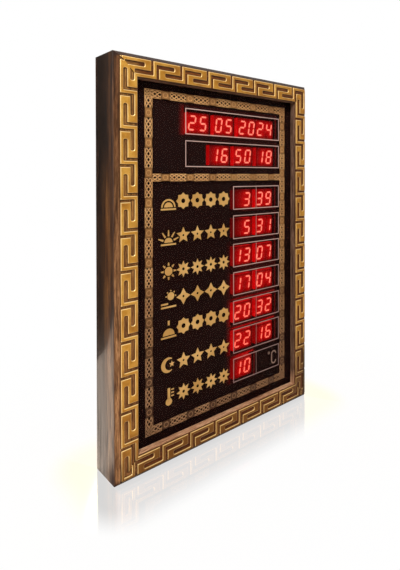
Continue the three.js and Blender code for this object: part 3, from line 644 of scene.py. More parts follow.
keyLooks = {
    "pitch": 40.7, "width": 21.8, "bevel": 5.5, "relief": 1.4,
    "slotRadius": 1.5, "edgeRadius": 0.6, "least": 0.12,
    "outline": [(0, 0), (0.88, 0), (0.88, 0.6), (0.35, 0.6), (0.35, 0.8), (0.945, 0.8), (0.945, 0), (1, 0),
                (1, 1), (0.13, 1), (0.13, 0.4), (0.66, 0.4), (0.66, 0.2), (0.055, 0.2), (0.055, 1), (0, 1)],
    "slotEnds": [3, 4, 11, 12], "openSides": [7, 15], "joints": [0, 7, 8, 15],
    "levels": [(-0.2, -0.55, 0.0), (0.03, -0.5, 0.0), (0.05, -0.04, 0.0), (0.35, 0.12, 0.1),
               (0.72, 0.38, 1.0), (0.93, 0.75, 1.0), (1.0, 1.15, 0.7), (1.0, 1.5, 0.0)],
    # lit and under: a painted highlight on edges facing up and left, and a painted shadow on faces facing down
    "lit": {"least": 0.3, "gain": 1.7, "up": 0.7, "left": 0.6}, "under": 1.3,
}


def keyContour(inset):
    looks = keyLooks
    pitch, width = looks["pitch"], looks["width"]
    corners = [Vector((along * pitch, across * width)) for along, across in looks["outline"]]
    count = len(corners)
    moved, radii = [], []
    for index, corner in enumerate(corners):
        shift = Vector((0, 0))
        turns = []
        for edge in (index - 1, index):
            way = (corners[(edge + 1) % count] - corners[edge]).normalized()
            turns.append(way)
            if edge % count not in looks["openSides"]:
                shift += Vector((-way.y, way.x)) * inset
        moved.append(corner + shift)
        convex = turns[0].cross(turns[1]) > 0
        radius = looks["slotRadius"] if index in looks["slotEnds"] else looks["edgeRadius"]
        radius = max(radius - inset, looks["least"]) if convex else radius + inset
        radii.append(0 if index in looks["joints"] else radius)
    return roundedCorners(moved, radii)


def keyTile():
    looks = keyLooks
    contours = [keyContour(inset) for _, inset, _ in looks["levels"]]
    count, last = len(contours[0]), (len(contours) - 1) * len(contours[0])
    points = [(point.x, point.y, height * looks["relief"])
              for contour, (height, _, _) in zip(contours, looks["levels"]) for point in contour]
    faces = []
    for index in range(count):
        following = (index + 1) % count
        ends = contours[0][index].x, contours[0][following].x
        if max(ends) < 1e-6 or min(ends) > looks["pitch"] - 1e-6:
            continue  # open, where the next tile joins on
        faces += [[low + index, low + following, low + count + following, low + count + index]
                  for low in range(0, last, count)]
    faces += [list(range(last, last + count)), list(reversed(range(count)))]
    mesh = makeMesh("keyTile", points, faces)
    rims = [rim for _, _, rim in looks["levels"] for _ in range(count)]
    mesh.attributes.new("rim", "FLOAT", "POINT").data.foreach_set("value", rims)
    return makeObject("keyTile", mesh)


class Recipe(Graph):
    def __init__(self, name, **inputs):
        super().__init__(bpy.data.node_groups.new(name, "GeometryNodeTree"))
        self.tree.interface.new_socket("Geometry", in_out="INPUT", socket_type="NodeSocketGeometry")
        for label, kind in inputs.items():
            self.tree.interface.new_socket(label, in_out="INPUT", socket_type="NodeSocket" + kind)
        self.tree.interface.new_socket("Geometry", in_out="OUTPUT", socket_type="NodeSocketGeometry")
        self.entry = self.tree.nodes.new("NodeGroupInput")
        self.exit = self.tree.nodes.new("NodeGroupOutput")

    def __getitem__(self, name):
        return Wire(self, self.entry.outputs[name])

    def shift(self, x=0.0, y=0.0, z=0.0):
        return self.node("ShaderNodeCombineXYZ", {0: x, 1: y, 2: z})

    def finish(self, geometry, material):
        real = self.node("GeometryNodeRealizeInstances", {0: geometry})
        merged = self.node("GeometryNodeMergeByDistance", {"Geometry": real, "Distance": 0.000002})
        painted = self.node("GeometryNodeSetMaterial", {0: merged, "Material": material})
        self.feed(self.exit.inputs[0], painted)
        return self

    def grow(self, name, values, base=None):
        holder = makeObject(name, base or bpy.data.meshes.new(name))
        modifier = holder.modifiers.new("recipe", "NODES")
        modifier.node_group = self.tree
        for item in self.tree.interface.items_tree:
            if item.item_type == "SOCKET" and item.in_out == "INPUT" and item.name in values:
                modifier[item.identifier] = values[item.name]
        graph = bpy.context.evaluated_depsgraph_get()
        mesh = bpy.data.meshes.new_from_object(holder.evaluated_get(graph), depsgraph=graph)
        bpy.data.objects.remove(holder)
        return makeObject(name, mesh)


def keyRunRecipe():
    recipe = Recipe("keyRun", Tile="Object", Count="Int", Pitch="Float")
    places = {"Count": recipe["Count"], "Offset": recipe.shift(recipe["Pitch"])}
    line = recipe.node("GeometryNodeMeshLine", places, mode="OFFSET")
    tile = recipe.node("GeometryNodeObjectInfo", {"Object": recipe["Tile"]}, "Geometry")
    copies = recipe.node("GeometryNodeInstanceOnPoints", {"Points": line, "Instance": tile})
    return recipe.finish(copies, slotFinishes["gilding"])


def cutAway(shape, point, normal):
    parts = shape.verts[:] + shape.edges[:] + shape.faces[:]
    bmesh.ops.bisect_plane(shape, geom=parts, dist=1e-5, plane_co=point, plane_no=normal, clear_outer=True)
    bmesh.ops.holes_fill(shape, edges=[edge for edge in shape.edges if edge.is_boundary], sides=0)


def makeKeyRelief(rail, recipe, tile):
    looks = keyLooks
    length = railLength(rail)
    pitch, bevel = looks["pitch"], looks["bevel"]
    first = railLooks["keyPhases"][rail] * pitch - length / 2 - 2 * pitch
    count = math.ceil((length / 2 + pitch - first) / pitch)
    values = {"Tile": tile, "Count": count, "Pitch": pitch}
    relief = recipe.grow("gilded_" + rail.replace("rail", "key"), values)
    shape = bmesh.new()
    shape.from_mesh(relief.data)
    half = length / 2 - railLooks["mitreGap"] / 2 - bevel
    for end in (-1, 1):
        cutAway(shape, (end * half - first, 0, 0), (end, 1, 0))
    for vertex in shape.verts:
        along, across, height = vertex.co
        vertex.co = railPoint(rail, along + first, across + bevel, looks["relief"] - height)
    shape.normal_update()
    bmesh.ops.triangulate(shape, faces=[face for face in shape.faces if len(face.verts) > 4])
    bmesh.ops.recalc_face_normals(shape, faces=shape.faces)
    shape.normal_update()
    lit, under = [shape.verts.layers.float.new(word) for word in ("lit", "under")]
    light = looks["lit"]
    for vertex in shape.verts:  # edges that face up and left are pale as a painted highlight, and faces that face down are dark as a painted shadow
        facing = vertex.normal.z * light["up"] - vertex.normal.x * light["left"]
        vertex[lit] = min(1.0, light["least"] + light["gain"] * max(0.0, facing))
        vertex[under] = min(1.0, looks["under"] * max(0.0, -vertex.normal.z))
    shape.to_mesh(relief.data)
    shape.free()
    shadeSmooth(relief.data, 40)
    return fit(relief, "gilding")


tile = keyTile()
keyRecipe = keyRunRecipe()
for rail in railLooks["turns"]:
    makeKeyRelief(rail, keyRecipe, tile)
bpy.data.objects.remove(tile)
print("key relief:", len(railLooks["turns"]), "runs")


# Printed front

panelFront = size("front_panel")[2]
printThickness = 0.12


def printed(name, outlines, slot, material=None):
    material = material or slotFinishes[slot]
    return fit(thickPlate(name, outlines, panelFront - printThickness, printThickness, material), slot)


windowLooks = {
    "left": -62.6, "right": 108.6, "rowLeft": 17.3, "line": 1.15, "divider": 61.3, "dividerLine": 0.5,
    "upper": [(411.0, 444.9), (368.65, 403.1)],
    "rows": [(308.9, 342.2), (267.2, 300.8), (227.1, 260.4), (186.6, 220.0), (145.4, 179.3), (104.2, 138.5),
             (62.9, 96.8)],
}


def printedWindows():
    looks = windowLooks
    edge, half = looks["line"], looks["dividerLine"] / 2
    outlines = []
    for bottom, top in looks["upper"]:
        outlines += lineFrame(looks["left"], looks["right"], bottom, top, edge)
    for bottom, top in looks["rows"]:
        outlines += lineFrame(looks["rowLeft"], looks["right"], bottom, top, edge)
        outlines.append(bar(looks["divider"] - half, looks["divider"] + half, bottom + edge, top - edge))
    return printed("window_outlines", outlines, "grey_print")


ground = (-11, 11, -11, -8.8)
signLooks = {
    "left": -99.0, "right": 11.0, "height": 22.0, "signs": 5, "starReach": 0.97,
    "rowMiddles": [324.9, 280.5, 236.9, 201.6, 163.4, 118.6, 78.1],
    "stars": [(8, 0.765, 0.28), (5, 0.46, 0.13), (8, 0.54, 0.18), (4, 0.50, 0.15), (8, 0.765, 0.28),
              (5, 0.46, 0.13), (8, 0.54, 0.18)],
    "pictograms": [  # the bars, rings and rays round the middle of each row's first place
        ([ground], [(0, -7.4, 10.4, 8.2, 0, 180, 20), (0, -7.4, 6.2, 0.3, 0, 180, 16)], []),  # before dawn
        ([ground], [(0, -7.4, 6.0, 0.3, 0, 180, 18)], [(0, -7.4, 20, 160, 5, 8.0, 15.5, 2.6)]),  # sunrise
        ([], [(0, 0, 5.6, 0.3, 0, 360, 28)], [(0, 0, 0, 315, 8, 7.2, 11.0, 2.8)]),  # noon
        ([ground, (-11, -1, -6.8, -4.6)], [(3.2, 3.4, 5.0, 0.3, 0, 360, 26)],
         [(3.2, 3.4, 0, 180, 5, 6.2, 7.8, 2.2)]),  # afternoon, with a long shadow
        ([ground, (-1.3, 1.3, 5.2, 11)], [(0, -7.4, 8.4, 0.3, 0, 180, 22)], []),  # sunset
        ([], [], []),  # night, drawn from the two values below
        ([(-1.9, 1.9, -3, 11)] + [(3.4, 7.4, rise, rise + 1.6) for rise in (-0.6, 3.4, 7.4)],
         [(0, -6.4, 4.6, 0.3, 0, 360, 26)], []),  # a thermometer
    ],
    "moon": [(-1.4, 9.6, 50, 310, 24), (1.6, 7.0, 68.21, 291.81, 24)], "star": (4.4, 0.2, 5, 4.2, 1.8),
}


def rowSign(row, x, z):
    bars, rings, beams = signLooks["pictograms"][row]
    outlines = [bar(x + left, x + right, z + bottom, z + top) for left, right, bottom, top in bars]
    for draw, forms in ((ringOutlines, rings), (rays, beams)):
        for across, up, *rest in forms:
            outlines += draw(x + across, z + up, *rest)
    if not outlines:
        across, up, *star = signLooks["star"]
        outlines += pieced(*[arc(x + shift, z, *rest) for shift, *rest in signLooks["moon"]], False)
        outlines.append(starOutline(x + across, z + up, *star))
    return outlines


def printedSigns():
    looks = signLooks
    half = looks["height"] / 2
    pitch = (looks["right"] - looks["left"] - looks["height"]) / (looks["signs"] - 1)
    outlines = []
    for row, middle in enumerate(looks["rowMiddles"]):
        points, valley, hole = looks["stars"][row]
        outlines += rowSign(row, looks["left"] + half, middle)
        for step in range(1, looks["signs"]):
            x = looks["left"] + half + step * pitch
            outlines += pieced(starOutline(x, middle, points, half * looks["starReach"], half * valley),
                               starOutline(x, middle, points, half * hole, half * hole))
    return printed("row_signs", outlines, "gold_print")


degreeLooks = {"ring": (87.4, 87.0, 1.9, 0.9), "x": 97.6, "middles": ((83.4, 0), (73.8, 180)),
               "outer": 5.4, "inner": 3.3}


def printedDegrees():  # the unit beside the temperature, as on any thermometer
    looks = degreeLooks
    x, outer, inner = looks["x"], looks["outer"], looks["inner"]
    outlines = ringOutlines(*looks["ring"], steps=20)
    for z, first in looks["middles"]:
        outlines += ringOutlines(x, z, outer, inner, first, first + 180, 18)
    (high, _), (low, _) = looks["middles"]
    outlines.append(bar(x - outer, x - inner, low, high))
    return printed("degree_sign", outlines, "grey_print", unitInk)


bandLooks = {
    "outerX": 121.0, "low": 39.2, "high": 462.7, "width": 10.6, "cross": 354.95, "crossWidth": 9.5,
    "square": 12.4, "strand": 1.45, "sway": 3.8, "wave": 29.0, "edgeLine": 0.7, "lift": 0.05, "step": 0.8,
    "squaresAcross": 6, "squaresUp": 11, "medal": 3.4, "medalHole": 0.78,
    "knotReach": 0.52, "knotSide": 1.15, "knotCross": 2.3,
}


def strandRecipe():  # a line along X, resampled and pushed sideways by a sine of its place
    names = ("Length", "Sway", "Wave", "Phase", "Width", "Thickness", "Step", "Lift")
    recipe = Recipe("plaitStrand", **{name: "Float" for name in names})
    length, sway, wave, phase, width, thickness, step, lift = [recipe[name] for name in names]
    line = recipe.node("GeometryNodeCurvePrimitiveLine", {"End": recipe.shift(length)})
    fine = recipe.node("GeometryNodeResampleCurve", {"Curve": line, "Length": step}, mode="LENGTH")
    along = recipe.node("GeometryNodeSplineParameter", out="Length")
    angle = along / wave * (2 * math.pi) + phase
    side = angle.maths("SINE", angle) * sway
    weave = angle.maths("SINE", angle * 2) * lift  # over one strand and under the next
    offset = recipe.shift(0.0, side, weave)
    bent = recipe.node("GeometryNodeSetPosition", {"Geometry": fine, "Offset": offset})
    section = recipe.node("GeometryNodeCurvePrimitiveQuadrilateral", {"Width": width, "Height": thickness})
    flat = recipe.node("GeometryNodeSetCurveNormal", {"Curve": bent}, mode="Z_UP")
    plait = recipe.node("GeometryNodeCurveToMesh", {0: flat, 1: section, "Fill Caps": True})
    return recipe.finish(plait, bandInk)


def bandRuns():  # each run's start, its length, whether it stands upright, its width and its count of squares
    looks = bandLooks
    width, half = looks["width"], looks["width"] / 2
    edge, low, high = looks["outerX"] - half, looks["low"] + half, looks["high"] - half
    level = [((half - edge, z), 2 * (edge - half), False, tall, looks["squaresAcross"])
             for z, tall in ((low, width), (high, width), (looks["cross"], looks["crossWidth"]))]
    upright = [((x, low + half), high - low - width, True, width, looks["squaresUp"]) for x in (-edge, edge)]
    return level + upright


def onRun(run, along, across):
    (x, z), _, upright, _, _ = run
    return (x + across, z + along) if upright else (x + along, z + across)


def runBar(run, first, last, low, high):
    return [onRun(run, along, across) for along, across in bar(first, last, low, high)]


def plaitParts(run, recipe):
    looks = bandLooks
    _, length, _, width, _ = run
    values = {"Length": length, "Sway": looks["sway"] * width / looks["width"], "Width": looks["strand"],
              "Wave": length / round(length / looks["wave"]), "Thickness": printThickness,
              "Step": looks["step"], "Lift": looks["lift"] / 2}
    parts = []
    for strand in range(4):
        part = recipe.grow("strand", {**values, "Phase": strand * math.pi / 2})
        for vertex in part.data.vertices:
            x, z = onRun(run, vertex.co.x, vertex.co.y)
            vertex.co = at(x, panelFront - printThickness / 2 - vertex.co.z, z)
        parts.append(part)
    return parts


def joinPieces(name, parts):
    shape = bmesh.new()
    for part in parts:
        shape.from_mesh(part.data)
    bmesh.ops.recalc_face_normals(shape, faces=shape.faces)
    mesh = bpy.data.meshes.new(name)
    shape.to_mesh(mesh)
    shape.free()
    mesh.materials.append(parts[0].data.materials[0])
    for part in parts:
        bpy.data.objects.remove(part)
    return makeObject(name, mesh)


def slantedBar(x, z, length, width, degrees):
    return setDown(bar(-length / 2, length / 2, -width / 2, width / 2), x, z, degrees)


def cornerKnot(x, z):  # a frame, a diamond and two crossing strands
    looks = bandLooks
    half, strand = looks["width"] / 2, looks["strand"]
    parts = lineFrame(x - half, x + half, z - half, z + half, looks["edgeLine"])
    for turn in (45, 135, 225, 315):
        spot = polar(x, z, half * looks["knotReach"], turn)
        parts.append(slantedBar(*spot, half * looks["knotSide"], strand, turn + 90))
    return parts + [slantedBar(x, z, half * looks["knotCross"], strand, turn) for turn in (45, -45)]


def printedBand():
    looks = bandLooks
    recipe = strandRecipe()
    line, side, medal = looks["edgeLine"], looks["square"] / 2, looks["medal"]
    parts, lines, squares, medals = [], [], [], []
    for run in bandRuns():
        _, length, _, width, count = run
        half = width / 2
        parts += plaitParts(run, recipe)
        lines += [runBar(run, 0, length, edge, edge + line) for edge in (-half, half - line)]
        for square in range(count):
            middle = (square + 0.5) / count * length
            squares.append(runBar(run, middle - side, middle + side, -half, half))
            medals += ringOutlines(*onRun(run, middle, 0), medal, medal * looks["medalHole"], steps=20)
            for start in (middle - side, middle + side - line):
                lines.append(runBar(run, start, start + line, -half, half))
    half = looks["width"] / 2
    for x in (half - looks["outerX"], looks["outerX"] - half):
        for z in (looks["low"] + half, looks["high"] - half):
            lines += cornerKnot(x, z)
    front = panelFront - printThickness - looks["lift"]
    parts.append(thickPlate("lines", lines, front, printThickness + looks["lift"], bandInk))
    parts.append(thickPlate("medals", medals, front - looks["lift"], printThickness, bandInk))
    fit(joinPieces("knot_band", parts), "gold_print")
    fit(thickPlate("band_squares", squares, front, printThickness, squareInk), "gold_print")


printedWindows()
printedSigns()
printedDegrees()
printedBand()
print("print: windows, signs, degree sign and band")


# Displays

displayLooks = {
    "texts": {
        "day_display": "25", "month_display": "05", "century_display": "20", "year_display": "24",
        "hours_display": "16", "minutes_display": "50", "seconds_display": "18",
        "row_1_display": " 339", "row_2_display": " 531", "row_3_display": "1307", "row_4_display": "1704",
        "row_5_display": "2032", "row_6_display": "2216", "temperature_display": "10",
    },
    "moduleWidth": 35.2, "grid": 0.8, "digitHeight": 20.3, "digitHalfWidth": 4.6, "stroke": 2.3,
    "slant": 9.0, "gap": 0.45, "proud": 0.15, "nibRound": 0.3, "shifts": {"day_display": -1.3},
    "endTaper": 0.35,  # how much of a level's narrowing reaches the segment's ends
    "levels": [(0.0, 1.0, 1.0), (1.0, 0.97, 1.0), (1.3, 0.72, 0.0)],  # a segment's: how proud, how wide, rim
    "reach": 9.0, "floor": 0.07, "peak": 0.86, "blank": 30.0,
    "edgeFade": 6.0, "edgeShare": 0.35, "endFade": 5.5, "endShare": 0.34,
    "wall": 0.86, "wallStart": 4.0, "wallFall": 0.3, "wallSteps": (0.0, 0.35, 0.7, 1.0), "wallReach": 8.0,
    "wallReaches": {"hours_display": 20.0, "seconds_display": 20.0},
}
segmentsOf = {"0": "abcdef", "1": "bc", "2": "abged", "3": "abgcd", "4": "fgbc", "5": "afgcd", "6": "afgedc",
              "7": "abc", "8": "abcdefg", "9": "abfgcd", " ": ""}
segmentEnds = {"a": ((-1, 1), (1, 1)), "b": ((1, 1), (1, 0)), "c": ((1, 0), (1, -1)), "g": ((-1, 0), (1, 0)),
               "d": ((-1, -1), (1, -1)), "e": ((-1, 0), (-1, -1)), "f": ((-1, 1), (-1, 0))}


def segmentLines(digit, x, z):  # the middle line of each lit segment, slanted as on the real modules
    looks = displayLooks
    half, wide = (looks["digitHeight"] - looks["stroke"]) / 2, looks["digitHalfWidth"]
    lean = math.tan(math.radians(looks["slant"]))
    return [[Vector((x + across * wide + up * half * lean, z + up * half)) for across, up in line]
            for line in (segmentEnds[letter] for letter in segmentsOf[digit])]


def distanceTo(line, spot):
    start, end = line
    along = end - start
    share = max(0.0, min(1.0, (spot - start).dot(along) / along.length_squared))
    return (start + along * share - spot).length


def segmentOutline(line, along, side):
    gap, nib = along * displayLooks["gap"], along * displayLooks["stroke"] / 2
    first, last = line[0] + gap, line[1] - gap
    corners = [first, first + nib + side, last - nib + side, last, last - nib - side, first + nib - side]
    return roundedCorners(corners, [displayLooks["nibRound"]] * 6, 2)


def litDigits(name, lines, depth):
    looks = displayLooks
    points, faces, rims = [], [], []
    for line in lines:
        along = (line[1] - line[0]).normalized()
        across = Vector((-along.y, along.x))
        middle = (line[0] + line[1]) / 2
        outline = segmentOutline(line, along, across * looks["stroke"] / 2)
        faces += closed(len(outline), len(looks["levels"]), len(points))
        for proud, share, rim in looks["levels"]:
            for spot in outline:
                toward = spot - middle
                place = middle + across * toward.dot(across) * share
                place += along * toward.dot(along) * (1 - (1 - share) * looks["endTaper"])
                points.append(at(place.x, depth - looks["proud"] * proud, place.y))
                rims.append(rim)
    return fit(makePiece(name, points, faces, [slotFinishes["lit_segment"]], rim=rims), "lit_segment")


def gridFaces(columns, rows, start=0):  # between points that follow each other row by row in the list
    corners = [start + row * columns + column for row in range(rows - 1) for column in range(columns - 1)]
    return [[corner, corner + 1, corner + 1 + columns, corner + columns] for corner in corners]


def faded(gap, reach, share):  # share at an edge, 1 from reach inwards
    return share + (1 - share) * max(0.0, min(1.0, gap / reach))


def moduleShell(box, lines, wallReach, points, glows):
    # a box with a fine front, whose glow falls off away from the lit segments
    looks = displayLooks
    left, right, front, back, low, high = box
    columns, rows = [round(length / looks["grid"]) for length in (right - left, high - low)]
    start, wide, floor = len(points), columns + 1, looks["floor"]

    def nearest(x, z):
        return min([distanceTo(line, Vector((x, z))) for line in lines], default=looks["blank"])

    for row in range(rows + 1):
        for column in range(wide):
            x, z = left + (right - left) * column / columns, low + (high - low) * row / rows
            glow = floor + (looks["peak"] - floor) * math.exp(-nearest(x, z) / looks["reach"])
            glow *= faded(min(z - low, high - z), looks["edgeFade"], looks["edgeShare"])
            points.append(at(x, front, z))
            glows.append(glow * faded(right - x, looks["endFade"], looks["endShare"]))
    rim = [*range(columns), *range(columns, rows * wide, wide),
           *range(rows * wide + columns, rows * wide, -1), *range(rows * wide, 0, -wide)]
    ring = [points[start + place] / millimetre for place in rim]
    for share in looks["wallSteps"]:
        for spot in ring:
            away = max(nearest(spot.x, spot.z) - looks["wallStart"], 0.0)
            glow = floor + looks["wall"] * math.exp(-away / wallReach)
            points.append(at(spot.x, front + (back - front) * share, spot.z))
            glows.append(glow * (1 - share * looks["wallFall"]))
    fine, last = start + wide * (rows + 1), len(points)
    return (gridFaces(wide, rows + 1, start) + walls(len(rim), len(looks["wallSteps"]), fine)
            + [list(range(last - len(rim), last))])


def makeDisplay(node):
    looks = displayLooks
    left, right, front, back, low, high = size(node)
    text, wide = looks["texts"][node], looks["moduleWidth"]
    points, faces, glows, lit = [], [], [], []
    for pair, start in enumerate([left, right - wide][:len(text) // 2]):
        lines = []
        for place in (0, 1):
            across = start + wide * (0.25 + 0.5 * place) + looks["shifts"].get(node, 0.0)
            lines += segmentLines(text[pair * 2 + place], across, (low + high) / 2)
        box = (start, start + wide, front, back, low, high)
        faces += moduleShell(box, lines, looks["wallReaches"].get(node, looks["wallReach"]), points, glows)
        lit += lines
    shell = makePiece("glowing_" + node, points, faces, [slotFinishes["red_display"]], glow=glows)
    fit(shell, "red_display", node)
    litDigits(node.replace("display", "digits"), lit, front)
    return lit


litLines = {node: makeDisplay(node) for node in displayLooks["texts"]}
print("displays:", len(litLines))


haloLooks = {
    "rows": [["day_display", "month_display", "century_display", "year_display"],
             ["hours_display", "minutes_display", "seconds_display"],
             *[[f"row_{row}_display"] for row in range(1, 7)], ["temperature_display"]],
    "opening": (-8.0, 1.5, -1.6, 6.2), "reach": (-9.0, 4.0, -2.4, 3.4),  # left, right, below, above
    "step": 1.4, "depth": 13.92, "fall": 8.0,
    "sides": [1.2, 0.0, 0.1, 0.1, 0.6, 0.7, 1.1, 1.2, 1.2],  # each row's light on the carrier to its left
    "tops": [0.15, 0.1, 0.0, 0.0, 0.1, 0.3, 1.8, 3.2, 3.6],  # and above it
    "right": 0.36, "bottom": 0.2,
}


def gridLines(low, first, last, high):
    stops = [low]
    for start, end in ((low, first), (first, last), (last, high)):
        parts = max(1, round((end - start) / haloLooks["step"]))
        stops += [start + (end - start) * (part + 1) / parts for part in range(parts)]
    return stops


def makeHalos():  # the carrier's edge round each row of displays, lit red by them
    looks = haloLooks
    points, faces, glows = [], [], []
    for row, side, top in zip(looks["rows"], looks["sides"], looks["tops"]):
        boxes = [size(node) for node in row]
        lines = [line for node in row for line in litLines[node]]
        edges = min(box[0] for box in boxes), max(box[1] for box in boxes), *boxes[0][4:]
        inner = [edge + more for edge, more in zip(edges, looks["opening"])]
        outer = [edge + more for edge, more in zip(inner, looks["reach"])]
        columns, rows = [gridLines(outer[low], *inner[low:low + 2], outer[low + 1]) for low in (0, 2)]
        start = len(points)
        for x, z in [(x, z) for z in rows for x in columns]:
            nearest = min(distanceTo(line, Vector((x, z))) for line in lines)
            spots = zip(outer, (x, x, z, z), looks["reach"])
            border = min((edge - spot) / reach for edge, spot, reach in spots)
            strength = (side if x <= inner[0] else looks["right"] if x >= inner[1] else
                        top if z >= inner[3] else looks["bottom"])
            points.append(at(x, looks["depth"], z))
            glows.append(strength * math.exp(-nearest / looks["fall"]) * min(border, 1.0))
        for face in gridFaces(len(columns), len(rows), start):
            middle = (points[face[0]] + points[face[2]]) / 2 / millimetre
            if not (inner[0] < middle.x < inner[1] and inner[2] < middle.z < inner[3]):
                faces.append(face)
    return fit(makePiece("display_halos", points, faces, [haloFinish], glow=glows), "black_carrier")


makeHalos()


# Back

backLooks = {
    "button": {"sides": 56, "flange": 1.0, "lip": 1.0, "dish": 0.3, "dishEdge": 1.1,
               "radii": [0, 0.25, 0.25, 0.1, 0.7, 0.3, 0]},
    "knob": {"sides": 168, "radius": 7.0, "ribs": 12, "ribDepth": 0.5, "bore": (1.9, 51.9),
             "top": (1.7, 0.12), "radii": [0, 0.1, 0.2, 0.3, 0.8, 0.2, 0], "pointer": (3.0, 6.2, 0.9)},
    "screw": {"sides": 40, "head": 2.9, "headHeight": 1.8, "shank": 1.5, "tip": 2.0, "cross": (3.7, 0.8, 1.0),
              "radii": [0, 0.3, 0.6, 0.1, 0.15, 1.15, 0], "turn": 0.7},
    "inlet": {"corner": 0.8, "bore": 3.0, "boreDepth": 8.5, "chamfer": 0.35},
    "pin": {"sides": 24, "radius": 0.8, "length": 7.0, "radii": [0, 0, 0.5, 0]},
    "ring": {"wire": 0.9, "half": 7.6, "bow": -4.5, "corner": 1.6, "steps": 24, "pivot": (51.3, 465.5)},
    "edges": {"rear_cover": 0.3, "left_hanger_strap": 0.16, "right_hanger_strap": 0.16},
}


def turned(name, x, z, corners, looks, slot, reach=None, steps=6):
    # the corners run (radius, depth) from the axis out and back to it; reach varies the radius with the angle
    sides = looks["sides"]
    rings = [point for point in roundedCorners(corners, looks["radii"], steps) if point.x > 0.01]
    points = []
    for radius, depth in rings:
        for side in range(sides):
            angle = 2 * math.pi * side / sides
            far = radius * (reach(angle, radius) if reach else 1)
            points.append(at(x + far * math.cos(angle), depth, z + far * math.sin(angle)))
    return makePiece(name, points, closed(sides, len(rings)), [slotFinishes[slot]])


def middleOf(node):
    left, right, front, back, low, high = size(node)
    return (left + right) / 2, (low + high) / 2, front, back


def makeButton(node, body):
    looks = backLooks["button"]
    left, right, *_ = size(node)
    x, z, front, back = middleOf(node)
    flange, seat = (right - left) / 2, front + looks["flange"]
    cap = flange - looks["lip"]
    corners = [(0, front), (flange, front), (flange, seat), (cap, seat), (cap, back),
               (cap - looks["dishEdge"], back - looks["dish"] * 0.5), (0, back - looks["dish"])]
    button = turned("capped_" + node, x, z, corners, looks, "grey_plastic")
    return fit(button, "grey_plastic", node, body=body)


def makeKnob():
    looks = backLooks["knob"]
    x, z, front, back = middleOf("volume_knob")
    radius, (bore, boreEnd), (rim, sunk) = looks["radius"], looks["bore"], looks["top"]

    def ribbed(angle, far):
        groove = max(0.0, math.cos(looks["ribs"] * angle)) ** 5
        return 1 - groove * looks["ribDepth"] / radius if far > radius * 0.8 else 1

    corners = [(0, boreEnd), (bore, boreEnd), (bore, front), (radius, front), (radius, back),
               (radius - rim, back - sunk), (0, back - sunk)]
    knob = turned("ribbed_knob", x, z, corners, looks, "black_plastic", ribbed)
    fit(knob, "black_plastic", "volume_knob", body="knob")
    near, far, width = looks["pointer"]
    line = roundedCorners(bar(x - width / 2, x + width / 2, z + near, z + far), [0.3] * 4)
    pointer = thickPlate("knob_pointer", [line], back - 0.15, 0.12, slotFinishes["grey_plastic"])
    fit(pointer, "grey_plastic", body="knob")


def screwRecipe():  # the driver's cross is cut out of a turned screw
    length, width, deep = [value * millimetre for value in backLooks["screw"]["cross"]]
    recipe = Recipe("crossScrew", Place="Vector", Turn="Float")
    bars = [recipe.node("GeometryNodeMeshCube", {"Size": dimensions})
            for dimensions in ((length, 2 * deep, width), (width, 2 * deep, length))]
    cross = recipe.node("GeometryNodeMeshBoolean", {1: bars[0]}, operation="UNION")
    recipe.feed(cross.socket.node.inputs[1], bars[1])
    placed = recipe.node("GeometryNodeTransform", {
        "Geometry": cross, "Translation": recipe["Place"], "Rotation": recipe.shift(0.0, recipe["Turn"])})
    screw = recipe.node("GeometryNodeMeshBoolean", {0: recipe["Geometry"], 1: placed}, operation="DIFFERENCE")
    return recipe.finish(screw, slotFinishes["zinc_steel"])


def makeScrew(node, recipe, turn):
    looks = backLooks["screw"]
    x, z, front, back = middleOf(node)
    head, shank, seat = looks["head"], looks["shank"], back - looks["headHeight"]
    corners = [(0, front), (shank * 0.5, front), (shank, front + looks["tip"]), (shank, seat), (head, seat),
               (head, back), (0, back)]
    blank = turned("blank", x, z, corners, looks, "zinc_steel")
    screw = recipe.grow("crossed_" + node, {"Place": at(x, back, z), "Turn": turn}, blank.data)
    bpy.data.objects.remove(blank)
    tidyMesh(screw.data, 32)
    return fit(screw, "zinc_steel", node)


def makeInlet():
    looks, pin = backLooks["inlet"], backLooks["pin"]
    left, right, front, back, low, high = size("power_inlet")
    x, z = (left + right) / 2, (low + high) / 2
    outer = roundedCorners(bar(left, right, low, high), [looks["corner"]] * 4, 11)
    angles = [math.degrees(math.atan2(up - z, across - x)) for across, up in outer]
    bore, chamfer, bottom = looks["bore"], looks["chamfer"], back - looks["boreDepth"]
    rings = [(outer, front), (outer, back)]
    for radius, depth in ((bore + chamfer, back), (bore, back - chamfer), (bore, bottom)):
        rings.append(([polar(x, z, radius, angle) for angle in angles], depth))
    points = [at(across, depth, up) for ring, depth in rings for across, up in ring]
    inlet = makePiece("moulded_inlet", points, closed(len(outer), len(rings)), [slotFinishes["black_plastic"]])
    fit(inlet, "black_plastic", "power_inlet")
    corners = [(0, bottom - 0.1), (pin["radius"], bottom - 0.1), (pin["radius"], bottom + pin["length"]),
               (0, bottom + pin["length"])]
    fit(turned("inlet_pin", x, z, corners, pin, "zinc_steel", steps=5), "zinc_steel")


def ringRecipe():
    recipe = Recipe("wireRing", Wire="Float")
    path = recipe.node("GeometryNodeMeshToCurve", {0: recipe["Geometry"]})
    section = recipe.node("GeometryNodeCurvePrimitiveCircle", {"Resolution": 20, "Radius": recipe["Wire"]})
    wire = recipe.node("GeometryNodeCurveToMesh", {0: path, 1: section})
    return recipe.finish(wire, slotFinishes["zinc_steel"])


